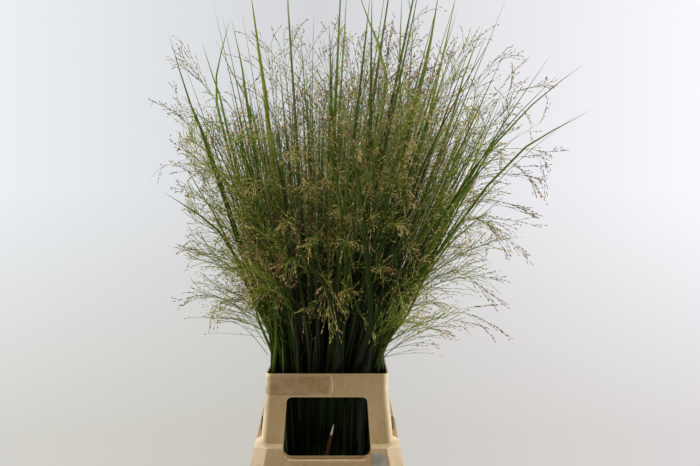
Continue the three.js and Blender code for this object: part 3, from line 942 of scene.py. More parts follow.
def pieceOf(name, bundle, nodes=(), smooth=32):
    mesh = bpy.data.meshes.new(name)
    points = np.concatenate(bundle["points"]) * mm
    loops = np.concatenate(bundle["loops"])
    starts = np.concatenate(bundle["starts"])
    mesh.vertices.add(len(points))
    mesh.vertices.foreach_set("co", points.astype(np.float32).ravel())
    mesh.loops.add(len(loops))
    mesh.loops.foreach_set("vertex_index", loops.astype(np.int32))
    mesh.polygons.add(len(starts))
    mesh.polygons.foreach_set("loop_start", starts.astype(np.int32))
    mesh.polygons.foreach_set("material_index", np.concatenate(bundle["finish"]).astype(np.int32))
    mesh.update(calc_edges=True)
    print(name, "triangles:", len(loops) - 2 * len(starts))
    strip = mesh.attributes.new("strip", "FLOAT_VECTOR", "POINT")
    strip.data.foreach_set("vector", np.concatenate(bundle["strip"]).astype(np.float32).ravel())
    tone = mesh.attributes.new("tone", "FLOAT", "POINT")
    tone.data.foreach_set("value", np.concatenate(bundle["tone"]).astype(np.float32))
    piece = bpy.data.objects.new(name, mesh)
    bpy.context.scene.collection.objects.link(piece)
    shadeSmooth(piece, smooth)
    place(piece, [finishes[finish] for finish in bundle["finishes"]], nodes)


def grassPiece(name, bundle, nodes=()):
    pieceOf(name, bundle, nodes)


def headPiece(name, bundle, nodes=()):
    pieceOf(name, bundle, nodes, panicleLook["smooth"])


def smoothPath(points, steps):
    # a curve through the points, which are (count, 3)
    points = np.asarray(points, float)
    padded = np.vstack([2 * points[0] - points[1], points, 2 * points[-1] - points[-2]])
    at = np.linspace(0, len(points) - 1, steps)
    knot = np.minimum(at.astype(int), len(points) - 2)
    t = (at - knot)[:, None]
    before, first, second, after = (padded[knot + i] for i in range(4))
    return 0.5 * (2 * first + (second - before) * t + (2 * before - 5 * first + 4 * second - after) * t ** 2
                  + (3 * first - before - 3 * second + after) * t ** 3)


def outwardAt(site, z):
    out = placeIn(site, 1, 0, z) - placeIn(site, 0, 0, z)
    return out / (np.linalg.norm(out) + 1e-9)


# leafy stems

stemLook = dict(girth=2.7, culmSteps=24, leafSteps=16, knot=(-5, 1))


def leafPathOf(site, root, laneOut, laneRound, rise, out, arch):
    i = np.linspace(0, 1, leafPlan["steps"] + 1)
    t = i ** 1.4
    z = root + rise * (t - arch * t ** 3)
    points = placeIn(site, mix(laneOut, out, t ** 2), laneRound, z)
    points[0] = placeIn(site, 0, 0, root)
    return smoothPath(points, stemLook["leafSteps"])


def leafyStem(site, bundle, leafCount=4, leafHalf=leafPlan["half"], highest=leafPlan["highest"]):
    rng, draw, girth, top = site["rng"], site["draw"], stemLook["girth"], site["culmTop"]
    culm = placeIn(site, 0, 0, np.linspace(sheaf["foot"], top, stemLook["culmSteps"]))
    outward = outwardAt(site, 300)
    stemTone = rng.uniform(0.0, 0.5)
    layAlong(bundle, culmShape, [culm], girth, outward, "culm", stemTone)
    leaves, knots = [], []
    for index in range(4 - leafCount, 4):
        laneOut, laneRound = leafLanes[index]
        root = mix(site["lowestLeaf"], top - leafPlan["lastBelow"], index / 3)
        rise = min(draw(*leafPlan["rise"]), highest - root)
        lax = draw(0, 1) if site["outer"] and laneOut > 0 else 0
        out = mix(*leafPlan["reach"], lax) if lax else laneOut
        arch = lax * draw(*leafPlan["arch"])
        leaves.append(leafPathOf(site, root, laneOut, laneRound, rise, out, arch))
        knots.append(placeIn(site, 0, 0, root + np.array(stemLook["knot"])))
    tones = np.clip(stemTone + rng.normal(0, 0.18, len(leaves)), 0, 1)
    if leaves:
        layAlong(bundle, leafShape, leaves, leafHalf * rng.uniform(0.85, 1.08, len(leaves)), outward, "leaf",
                 tones, rng.uniform(0, 1, len(leaves)))
        girths = [girth * (1 - 0.5 * knot[0, 2] / top) for knot in knots]
        layAlong(bundle, knotShape, knots, girths, outward, "knot", 0.5)


# panicles

panicleLook = dict(axisGirth=1.1, axisTone=0.6, branchGirth=0.5, branchTones=0.12, whorls=10, perWhorl=2,
                   whorlsAt=(0.02, 0.93), uneven=0.02, first=(12, 34), opening=(10, 45), taper=0.7,
                   reach=(0.7, 1.08), branchSteps=6, falls=(0.3, 1.0), fallCurve=2.2, smooth=180)
twigLook = dict(girth=0.38, gap=30, fill=0.7, angle=(6, 26), reach=(22, 46), longest=0.42, shrink=(1.2, 0.7),
                at=(0.28, 0.66, 0.97), uneven=(0.1, 0.9), tones=0.15)  # at: from, over, and no further than
grainLook = dict(length=8.2, girth=1.04, size=(0.75, 1.15), gap=10.5, angle=(3, 18), at=(0.22, 0.78, 1),
                 uneven=(0.5, 1.0), tones=0.22)
axisFacing, branchFacing, grainFacing = (0.6, 0.8, 0.1), (0.3, 0.2, 1), (0.2, 0.3, 1)
innerFinish, frontFinish = ("branch", "spikelet"), ("frontBranch", "frontSpikelet")
rootToTip = np.array([0.0, 1.0])


def turned(vectors, angle, rng):
    # each vector leans by its angle towards a random side
    side = rng.normal(size=vectors.shape)
    side -= (side * vectors).sum(axis=-1, keepdims=True) * vectors
    side /= np.linalg.norm(side, axis=-1, keepdims=True) + 1e-9
    return vectors * np.cos(angle)[..., None] + side * np.sin(angle)[..., None]


def pointAt(paths, which, share):
    # the point and the direction at a share of the chosen paths' length
    steps = paths.shape[1] - 1
    at = share * steps
    low = np.minimum(at.astype(int), steps - 1)
    part = (at - low)[:, None]
    start, end = paths[which, low], paths[which, low + 1]
    way = end - start
    return start + part * way, way / (np.linalg.norm(way, axis=1, keepdims=True) + 1e-9)


# how far the grass spreads: past a free half width it is gathered in, within the room that is left
spread = dict(centre=(64, 3), free=(270, 290), room=(70, 70), edge=380, last=20)


def gathered(points, free=spread["free"], room=spread["room"]):
    points = np.array(points)
    for axis in (0, 1):
        off = points[..., axis] - spread["centre"][axis]
        over = np.maximum(0, np.abs(off) - free[axis])
        kept = np.minimum(np.abs(off), free[axis]) + over / (1 + over / room[axis])
        points[..., axis] = spread["centre"][axis] + np.sign(off) * kept
    return points


def shortStrands(root, heading, reach):
    # straight strands from their roots, kept inside the sheaf's outermost edge
    strands = root[:, None] + heading[:, None] * (rootToTip[None, :] * reach[:, None])[..., None]
    return gathered(strands, (spread["edge"],) * 2, (spread["last"],) * 2)


def placesAlong(counts, look, rng):
    # for so many things on each strand: which strand each is on, and where along it
    which = np.repeat(np.arange(len(counts)), counts)
    order = np.concatenate([np.arange(count) for count in counts])
    first, over, last = look["at"]
    share = first + over * (order + rng.uniform(*look["uneven"], len(which))) / counts[which]
    return which, np.minimum(share, last)


def leaning(way, look, rng):
    # each way leans within the look's angles
    return turned(way, np.radians(rng.uniform(*look["angle"], len(way))), rng)


def tonesNear(tone, spreadOut, count, rng):
    return np.clip(tone + rng.normal(0, spreadOut, count), 0, 1)


def dress(bundle, branches, rng, tone, density=1.0, finish=innerFinish, fineness=1.0):
    # slender twigs that hug the branches, and spikelets in rows along both
    look = twigLook
    length = np.linalg.norm(np.diff(branches, axis=1), axis=2).sum(axis=1)
    counts = np.maximum(1, np.round(density * length * look["fill"] / look["gap"])).astype(int)
    which, share = placesAlong(counts, look, rng)
    root, way = pointAt(branches, which, share)
    heading = leaning(way, look, rng)
    reach = np.minimum(length[which] * look["longest"], rng.uniform(*look["reach"], len(which)))
    full, less = look["shrink"]
    twigs = shortStrands(root, heading, reach * (full - less * share))
    layAlong(bundle, twigShape, twigs, look["girth"], branchFacing, finish[0],
             tonesNear(tone, look["tones"], len(twigs), rng))
    look = grainLook
    carried = np.concatenate([twigs, branches[:, -2:], branches[:, -3:-1], branches[:, -4:-2]])
    span = np.linalg.norm(carried[:, 1] - carried[:, 0], axis=1)
    counts = np.maximum(1, np.round(span * math.sqrt(density) / look["gap"])).astype(int)
    which, share = placesAlong(counts, look, rng)
    root, way = pointAt(carried, which, share)
    heading = leaning(way, look, rng)
    size = look["length"] * fineness * rng.uniform(*look["size"], len(which))
    girth = look["girth"] * fineness * rng.uniform(*look["size"], len(which))
    layAlong(bundle, spikeletShape, shortStrands(root, heading, size), girth, grainFacing, finish[1],
             tonesNear(tone, look["tones"], len(which), rng), rng.uniform(0, 1, len(which)))


def growBranches(axis, longest, rng, droop, opening):
    # whorls of branches that leave the axis steeply and open out
    look = panicleLook
    whorls, steps, (lowest, over) = look["whorls"], look["branchSteps"], look["whorlsAt"]
    at = np.repeat((np.arange(whorls) + 0.4) / whorls, look["perWhorl"]) * over + lowest
    at = np.clip(at + rng.uniform(-look["uneven"], look["uneven"], len(at)), 0.01, 0.98)
    root, way = pointAt(np.repeat(axis[None], len(at), axis=0), np.arange(len(at)), at)
    side = turned(way, np.full(len(at), np.pi / 2), rng)
    reach = longest * (1 - look["taper"] * at) * rng.uniform(*look["reach"], len(at))
    first = np.radians(rng.uniform(*look["first"], len(at)))
    opening = np.radians(rng.uniform(*opening, len(at)))
    points = [root]
    for step in range(1, steps):
        angle = first + opening * (step - 0.5) / (steps - 1)
        heading = way * np.cos(angle)[:, None] + side * np.sin(angle)[:, None]
        points.append(points[-1] + heading * (reach / (steps - 1))[:, None])
    branches = np.stack(points, axis=1)
    fall = (droop * reach * rng.uniform(*look["falls"], len(at)))[:, None]
    branches[:, :, 2] -= fall * np.linspace(0, 1, steps) ** look["fallCurve"]
    return branches


def arcAxis(start, firstWay, lastWay, length, sag=0.0, steps=9):
    # an axis that sets off one way and bends over to another
    s = np.linspace(0, 1, steps)[:, None]
    path = start + length * (firstWay * (s - s * s / 2) + lastWay * s * s / 2)
    path[:, 2] -= sag * s[:, 0] ** 3
    return path


def headOn(bundle, axis, rng, tone, density=1.0, droop=0.0, branches=None, longest=0.6, held=False,
           finish=innerFinish, room=(spread["free"], spread["room"]), opening=panicleLook["opening"],
           fineness=1.0):
    # an axis, its branches and all that they carry; a held one is kept within the room itself
    if held:
        axis = gathered(axis, *room)
    height = np.linalg.norm(np.diff(axis, axis=0), axis=1).sum()
    layAlong(bundle, axisShape, [axis], panicleLook["axisGirth"], axisFacing, finish[0],
             tone * panicleLook["axisTone"])
    more = gathered(growBranches(axis, height * longest, rng, droop, opening), *room)
    branches = more if branches is None else np.concatenate([branches, more])
    layAlong(bundle, branchShape, branches, panicleLook["branchGirth"], branchFacing, finish[0],
             tonesNear(tone, panicleLook["branchTones"], len(branches), rng))
    dress(bundle, branches, rng, tone, density, finish, fineness)


def panicle(site, bundle):
    rng, draw, plan = site["rng"], site["draw"], paniclePlan
    height = draw(*plan["height"])
    foot = site["culmTop"] + plan["gap"]
    lax = draw(0, 1) if site["outer"] else 0
    sway = mix(*plan["sway"], lax) if lax else 0
    nod = plan["nod"] * lax

    def axisAt(t):
        return sway * t * t, 0, foot + height * (t - nod * t ** 3)
    axis = placeIn(site, *axisAt(np.linspace(0, 1, 9)))
    count = plan["branches"] + (2 if site["outer"] else 0)
    first, over = plan["at"]
    main = []
    s = np.linspace(0, 1, panicleLook["branchSteps"])
    for k in range(count):
        t = first + over * (k + draw(*plan["uneven"])) / count
        a, b, z = axisAt(t)
        turn = math.radians(plan["turn"] * k + draw(*plan["turned"]))
        drooping = site["outer"] and k % 4 == 0
        reach = draw(*plan["droop" if drooping else "reach"])
        rise = height * (1 - t) * draw(*plan["rise"]) + plan["lift"]
        fall = draw(*plan["fall"]) if drooping else 0
        sideways = min(reach, plan["reach"][1])
        main.append(placeIn(site, a + reach * s * math.cos(turn), b + sideways * s * math.sin(turn),
                            z + rise * s - fall * s * s))
    headOn(bundle, axis, rng, rng.uniform(*plan["tone"]), droop=plan["hang"] * lax, branches=np.array(main))


sites = makeSites()
for index, site in enumerate(sites):
    number = f"{index + 1:02d}"
    bundle = newBundle()
    leafyStem(site, bundle)
    grassPiece(f"leafyStem{number}", bundle, [f"leafy_stem_{number}"])
    bundle = newBundle()
    panicle(site, bundle)
    headPiece(f"panicle{number}", bundle, [f"panicle_{number}"])
print("stems and panicles on their nodes:", len(sites))


# the water they stand in

pond = dict(low=4.3, level=85, gap=0.3, round=0.5, past=2, sides=8, smooth=30)


def makeWater():
    levels = []
    for z in (pond["low"], pond["level"]):
        share = (z - bucket["floor"]) / (bucket["height"] - bucket["floor"])
        half = [mix(low, high, share) - bucket["wall"] - pond["gap"]
                for low, high in zip(bucket["foot"], bucket["top"])]
        levels.append(wallRing(half, bucket["cornerCut"], bucket["bulge"], z))
    piece = ringedSolid("water", levels)
    angles = [2 * math.pi * i / pond["sides"] for i in range(pond["sides"])]
    radius = stemLook["girth"] + pond["round"]
    for site in sites:
        rod = []
        for z in (pond["low"] - pond["past"], pond["level"] + pond["past"]):
            x, y, _ = placeIn(site, 0, 0, z)
            rod.append([(x + radius * math.cos(angle), y + radius * math.sin(angle), z) for angle in angles])
        combine(piece, ringedSolid("rod", rod), "DIFFERENCE")
    shadeSmooth(piece, pond["smooth"])
    place(piece, [waterMaterial()], ["water"])


makeWater()
print("water modelled")


# more stems between them

crowd = dict(count=190, groups=8, length=(270, 380), leafHalf=3.6, leafHighest=960, density=0.8,
             frontDensity=0.5, low=(600, 440), high=(745, 710), tilt=50, fullest=0.6, crest=50,
             crestEnd=0.45, turn=0.3, half=0.13, halfAngle=0.25, lowestLeaf=(230, 330), outerFrom=0.72,
             stub=20, longest=0.5, tones=((0.05, 0.5), (0.6, 1.0)), frontFrom=-0.35, droop=(0.25, 0.5))
crowdBend = dict(below=660, over=180, lean=(16, 48), uneven=(-8, 16), sideways=0.3, sag=(0, 90))


def crowdSites():
    more = []
    for i in range(crowd["count"]):
        rng = np.random.default_rng(900 + i)
        r = math.sqrt((i + 0.5) / crowd["count"])
        angle = i * goldenAngle + crowd["turn"]
        across = r * math.cos(angle)
        if i % 2 and across > crowd["fullest"]:
            continue
        top = rng.uniform(mix(*crowd["low"], r), mix(*crowd["high"], r)) + crowd["tilt"] * across
        if 0 < across < crowd["crestEnd"]:
            top += crowd["crest"]
        more.append(dict(r=r, half=crowd["half"], angle=angle, halfAngle=crowd["halfAngle"], culmTop=top,
                         lowestLeaf=rng.uniform(*crowd["lowestLeaf"]), outer=r > crowd["outerFrom"],
                         draw=chances(200 + i), rng=rng))
    return more


def crowdHead(site, bundle):
    # the lower a stem ends and the further out it stands, the more its head leans
    rng, top = site["rng"], site["culmTop"]
    culm = placeIn(site, 0, 0, np.array([top - crowd["stub"], top]))
    outward = outwardAt(site, top)
    low = np.clip((crowdBend["below"] - top) / crowdBend["over"], 0, 1)
    least, more = crowdBend["lean"]
    lean = math.radians(site["r"] ** 2 * (least + more * low) + rng.uniform(*crowdBend["uneven"]))
    sideways = rng.uniform(0, 2 * math.pi)
    lastWay = outward * math.sin(lean) + np.array([0, 0, math.cos(lean)])
    lastWay += crowdBend["sideways"] * np.array([math.cos(sideways), math.sin(sideways), 0])
    length = rng.uniform(*crowd["length"])
    sag = rng.uniform(*crowdBend["sag"]) * site["r"] ** 3
    axis = arcAxis(culm[1], unit(culm[1] - culm[0]), lastWay, length, sag)
    tone = rng.uniform(*crowd["tones"][0 if rng.uniform() < 0.5 else 1])
    density = crowd["frontDensity" if outward[1] < crowd["frontFrom"] else "density"]
    droop = (crowd["droop"][0] + crowd["droop"][1] * low) * site["r"]
    headOn(bundle, axis, rng, tone, density, droop, longest=crowd["longest"], held=True)


groups = [(newBundle(), newBundle()) for _ in range(crowd["groups"])]
for i, site in enumerate(crowdSites()):
    stems, heads = groups[i % crowd["groups"]]
    leafyStem(site, stems, int(i % 3 == 0), crowd["leafHalf"], crowd["leafHighest"])
    crowdHead(site, heads)
for i, (stems, heads) in enumerate(groups):
    grassPiece(f"moreStems{i + 1}", stems)
    headPiece(f"morePanicles{i + 1}", heads)
print("groups of more stems:", len(groups))


# heads that reach forwards and hang over the front, finer ones low down beside them and at the sides

frontHeads = dict(count=36, u=(-0.92, 0.92), z=(530, 880), length=(90, 190), tone=(0.4, 0.85),
                  look=dict(density=0.45, droop=0.35, longest=0.62))
lowHeads = dict(count=16, u=(0.55, 0.98), z=(428, 600), out=0.97, length=(150, 230), tone=(0.25, 0.6),
                look=dict(density=0.5, droop=0.1, longest=0.42, fineness=0.8))
sideHeads = dict(count=48, z=(438, 860), rightTop=0.4, out=0.95, length=(130, 240), tone=(0.7, 1.0),
                 look=dict(density=0.3, droop=0.1, longest=0.7, room=((320, 290), (60, 70)), opening=(0, 16),
                           fineness=0.82))


def addHead(bundle, rng, plan, start, firstWay, lastWay):
    axis = arcAxis(start, unit(np.array(firstWay)), unit(np.array(lastWay)), rng.uniform(*plan["length"]))
    headOn(bundle, axis, rng, rng.uniform(*plan["tone"]), held=True, finish=frontFinish, **plan["look"])


def addLowHeads(bundle):
    rng = np.random.default_rng(62)
    for i in range(lowHeads["count"]):
        u = mix(*lowHeads["u"], (i * goldenShare) % 1) * (1 if i % 3 == 2 else -1)
        z = mix(*lowHeads["z"], (i + 0.5) / lowHeads["count"])
        start = placeAt(u * lowHeads["out"], -math.sqrt(1 - u * u) * lowHeads["out"], z)
        lastWay = [0.5 * u + rng.uniform(-0.25, 0.25), -0.45, rng.uniform(0.4, 0.8)]
        addHead(bundle, rng, lowHeads, start, [0.3 * u, -0.2, 1.0], lastWay)


def addFrontHeads():
    rng = np.random.default_rng(60)
    bundle = newBundle()
    for i in range(frontHeads["count"]):
        u = mix(*frontHeads["u"], (i * goldenShare) % 1)
        z = mix(*frontHeads["z"], ((i + 0.5) / frontHeads["count"]) ** 0.9)
        start = placeAt(u, -math.sqrt(1 - u * u) * rng.uniform(0.86, 0.98), z)
        sideways = 0.55 * u + rng.uniform(-0.35, 0.35)
        lastWay = [sideways, -0.8, rng.uniform(-0.9, 0.1)]
        addHead(bundle, rng, frontHeads, start, [sideways, -0.5, 0.8], lastWay)
    addLowHeads(bundle)
    headPiece("frontPanicles", bundle)


def addSideHeads():
    rng = np.random.default_rng(61)
    bundle = newBundle()
    for i in range(sideHeads["count"]):
        sign = -1 if i % 4 else 1
        turn = rng.uniform(-1.1, 0.9)
        z = mix(*sideHeads["z"], (i + 0.5) / sideHeads["count"] * (1 if sign < 0 else sideHeads["rightTop"]))
        start = placeAt(sign * math.cos(turn) * sideHeads["out"], math.sin(turn) * sideHeads["out"], z)
        outwards = np.array([sign * math.cos(turn), math.sin(turn), 0])
        lastWay = outwards + np.array([0, 0, rng.uniform(-0.25, 0.3)])
        addHead(bundle, rng, sideHeads, start, outwards * 0.7 + np.array([0, 0, 0.7]), lastWay)
    headPiece("sidePanicles", bundle)


addFrontHeads()
addSideHeads()
print("front and side heads:", frontHeads["count"] + lowHeads["count"] + sideHeads["count"])


# leaves by the handful: half widths, tones, and how far the tips' dryness varies

def leavesOn(name, rng, paths, plan, facing=(0.2, -1, 0.1), finish="leaf"):
    bundle, count = newBundle(), len(paths)
    layAlong(bundle, leafShape, paths, rng.uniform(*plan["half"], count), facing, finish,
             rng.uniform(*plan["tone"], count), rng.uniform(0, plan["dry"], count))
    grassPiece(name, bundle)


# thin leaves along the sides
sideLeaves = dict(count=72, half=(1.8, 3), root=(430, 620), rise=(260, 440), tone=(0.35, 0.9), dry=0.8,
                  steps=12)


def addSideLeaves():
    rng = np.random.default_rng(62)
    along = np.linspace(0, 1, sideLeaves["steps"])
    paths = []
    for i in range(sideLeaves["count"]):
        turn = rng.uniform(-1.0, 0.8) + (math.pi if i % 3 else 0)
        root = rng.uniform(*sideLeaves["root"])
        z = np.linspace(root, root + rng.uniform(*sideLeaves["rise"]), sideLeaves["steps"])
        share = along ** 2 * rng.uniform(-0.12, 0.1) + rng.uniform(0.78, 0.97)
        paths.append(placeAt(share * math.cos(turn), share * math.sin(turn), z))
    leavesOn("sideLeaves", rng, paths, sideLeaves)


# leaves that fill the mouth out to its ends and spread above it
endLeaves = dict(count=44, at=(102, 108), y=(-135, 135), half=(2.6, 4.4), root=(200, 330), rise=(320, 560),
                 share=0.95, tone=(0.2, 0.65), dry=0.4, steps=14, spreadFrom=425, spreadOver=160, spreadY=0.2)


def addEndLeaves():
    rng = np.random.default_rng(64)
    paths = []
    for i in range(endLeaves["count"]):
        sign = 1 if i % 2 else -1
        across, y = rng.uniform(*endLeaves["at"]), rng.uniform(*endLeaves["y"])
        root = rng.uniform(*endLeaves["root"])
        z = np.linspace(root, root + rng.uniform(*endLeaves["rise"]), endLeaves["steps"])
        share = rng.uniform(0.8, 1) * endLeaves["share"]
        further = np.clip((z - endLeaves["spreadFrom"]) / endLeaves["spreadOver"], 0, 1)
        x = mix(sign * across, placeAt(sign * share, 0, z)[:, 0], further * further * (3 - 2 * further))
        paths.append(np.stack([x, y * (1 + endLeaves["spreadY"] * further), z], axis=-1))
    leavesOn("endLeaves", rng, paths, endLeaves)


# broad leaves along the front of the mouth
mouthLeaves = dict(count=17, u=(-0.8, 0.8), root=235, top=(520, 760), half=(5.2, 7), tone=(0.05, 0.28),
                   dry=0.3, steps=12, furthest=0.96)


def addMouthLeaves():
    rng = np.random.default_rng(63)
    along = np.linspace(0, 1, mouthLeaves["steps"])
    paths = []
    for i in range(mouthLeaves["count"]):
        u = mix(*mouthLeaves["u"], (i + 0.5) / mouthLeaves["count"]) + rng.uniform(-0.04, 0.04)
        z = np.linspace(mouthLeaves["root"], rng.uniform(*mouthLeaves["top"]), mouthLeaves["steps"])
        across = u + along ** 1.6 * rng.uniform(-0.3, 0.3)
        forwards = -np.sqrt(1 - np.minimum(across ** 2, mouthLeaves["furthest"]))
        paths.append(placeAt(across, forwards * rng.uniform(0.9, 0.98), z))
    leavesOn("mouthLeaves", rng, paths, mouthLeaves, (0.1, -1, 0.1), "frontLeaf")


# broad leaves inside, which darken the heart of the sheaf
thicket = dict(count=210, half=(4.4, 6.4), root=(60, 360), rise=(300, 500), reach=0.98, tone=(0, 0.22),
               dry=0.5, steps=12, drawnFrom=400, drawnOver=100)


def addThicket():
    rng = np.random.default_rng(40)
    along = np.linspace(0, 1, thicket["steps"])
    paths, facings = [], []
    for i in range(thicket["count"]):
        u, v = rng.uniform(-thicket["reach"], thicket["reach"], 2)
        inwards = min(1, thicket["reach"] / math.hypot(u, v))
        root = rng.uniform(*thicket["root"])
        z = np.linspace(root, root + rng.uniform(*thicket["rise"]), thicket["steps"])
        drawnIn = mix(1, inwards, np.clip((z - thicket["drawnFrom"]) / thicket["drawnOver"], 0, 1))
        drift = along ** 2 * rng.uniform(-0.1, 0.1)
        paths.append(placeAt(u * drawnIn + drift, v * drawnIn, z))
        turn = rng.uniform(0, 2 * math.pi)
        facings.append((math.cos(turn), math.sin(turn), 0.1))
    leavesOn("innerLeaves", rng, paths, thicket, facings)


addSideLeaves()
addEndLeaves()
addMouthLeaves()
addThicket()
print("leaves between the stems ready")


# strands that stand out, each set by points in the camera's 700 by 466 view, and by how far back it
# stands in the sheaf: -1 is the front, 1 the back

camera = dict(x=43.7, y=-2767, z=732, lens=70.4, sensor=36, below=0.754, centreX=350, horizon=215, scale=1.9,
              distance=2600, clipEnd=50)
# single leaves, from the tip down
markedLeaves = [
    dict(at=[(168, 30), (188, 97), (200, 125), (211, 157), (221, 185), (247, 267)], front=-0.75, half=4.6,
         tone=0.4),
    dict(at=[(202, 41), (211, 71), (221, 100), (232, 150)], front=0.3, half=3, tone=0.5),
    dict(at=[(231, 17), (222, 50), (216, 82), (222, 130)], front=-0.1, half=3, tone=0.75),
    dict(at=[(231, 17), (239, 51), (244, 77), (252, 130)], front=0.1, half=3, tone=0.55),
    dict(at=[(250, -14), (258, 45), (266, 100), (272, 160)], front=-0.5, half=6, tone=0.95),
    dict(at=[(214, 37), (232, 72), (247, 100), (262, 150)], front=0.4, half=2.6, tone=0.6),
    dict(at=[(300, 26), (303, 66), (306, 108), (310, 160)], front=0.0, half=2.4, tone=0.5),
    dict(at=[(314, 8), (313, 60), (312, 108), (314, 170)], front=0.5, half=2, tone=0.3),
    dict(at=[(329, 19), (331, 70), (332, 115), (337, 170)], front=-0.4, half=4, tone=0.2),
    dict(at=[(161.5, 191), (201, 216), (229, 243), (251, 292)], front=-0.75, half=3.6, tone=0.45),
    dict(at=[(183, 161), (201, 193), (221, 226), (244, 280)], front=0.2, half=3, tone=0.4),
    dict(at=[(168, 246), (226, 262), (251, 292), (264, 340)], front=0.3, half=2.6, tone=0.6),
    dict(at=[(356, -14), (368, 20), (379, 48), (386, 110)], front=0.2, half=4, tone=0.75),
    dict(at=[(372, -14), (371, 50), (370, 104), (368, 170)], front=-0.6, half=4.6, tone=0.15),
    dict(at=[(402, -10), (400, 36), (399, 72), (396, 140)], front=0.0, half=3.6, tone=0.5),
    dict(at=[(416, -8), (412, 40), (409, 80), (402, 150)], front=0.4, half=2.6, tone=0.35),
    dict(at=[(440, -16), (432, 34), (426, 64), (412, 120), (398, 190)], front=-0.5, half=6, tone=0.6),
    dict(at=[(458, -14), (442, 61), (430, 112), (414, 180)], front=-0.2, half=4.6, tone=0.97),
    dict(at=[(483, 27), (465, 72), (449, 128), (432, 180)], front=-0.3, half=4, tone=0.7),
    dict(at=[(584, 64), (538, 99), (485, 156), (452, 215)], front=-0.75, half=3, tone=0.6),
    dict(at=[(592, 109), (560, 127), (528.6, 144), (485, 188), (440, 250)], front=-0.6, half=3, tone=0.6),
    dict(at=[(510, 191), (470, 226), (434, 260), (410, 310)], front=-0.7, half=2.8, tone=1.0),
    dict(at=[(350, 120), (354, 165), (358, 182), (364, 230), (371, 333)], front=-1.22, half=5.4, tone=0.42),
    dict(at=[(326, 110), (331, 160), (337, 188), (343, 230)], front=-1.2, half=3.6, tone=0.6),
    dict(at=[(296, 236), (303, 258), (327, 289), (340, 340)], front=-1.2, half=6, tone=0.05),
]
markPlan = dict(depth=395.0, right=460, left=-332, startZ=700.0, rounds=6, steps=22, inside=0.93, mouth=430,
                below=(600, 480, 400, 320, 240), gap=60, widen=1.35, dry=0.8)


def scaleAt(y):
    # millimetres to one point of the view, at a depth
    return camera["scale"] * (y - camera["y"]) / camera["distance"]


def seenAt(px, py, y):
    # the place that shows at a point of the view, at a depth
    scale = scaleAt(y)
    return camera["x"] + (px - camera["centreX"]) * scale, camera["z"] + (camera["horizon"] - py) * scale


def placesOf(mark):
    # places on the sheaf at the mark's depth, brought forward where they would be too far out
    deepest, points = markPlan["depth"], []
    for px, py in mark["at"]:
        z = markPlan["startZ"]
        for _ in range(markPlan["rounds"]):
            y = float(np.clip(halfWidth("y", z) * mark["front"], -deepest, deepest))
            x, z = seenAt(px, py, y)
        outermost = markPlan["right" if px > camera["centreX"] else "left"] - camera["x"]
        scale = min(scaleAt(y), abs(outermost) / (abs(px - camera["centreX"]) + 1e-6))
        y = max(-deepest, scale * camera["distance"] / camera["scale"] + camera["y"])
        x, z = seenAt(px, py, y)
        points.append((x, y, z))
    return points


def markedPath(mark):
    # the marked points, then down inside the sheaf to its foot
    points = placesOf(mark)
    x, y, z = points[-1]
    u = (x - sheaf["lean"] * float(openedOut(z))) / float(halfWidth("x", z))
    v = y / float(halfWidth("y", z))
    inside = min(1, markPlan["inside"] / math.hypot(u, v))
    lower = [height for height in markPlan["below"] if height < z - markPlan["gap"]]
    for count, height in enumerate(lower):
        share = mix(1, inside, min(1, (count + 1) / 2)) if height > markPlan["mouth"] else inside
        points.append(tuple(placeAt(u * share, v * share, height)))
    return smoothPath(points[::-1], markPlan["steps"])


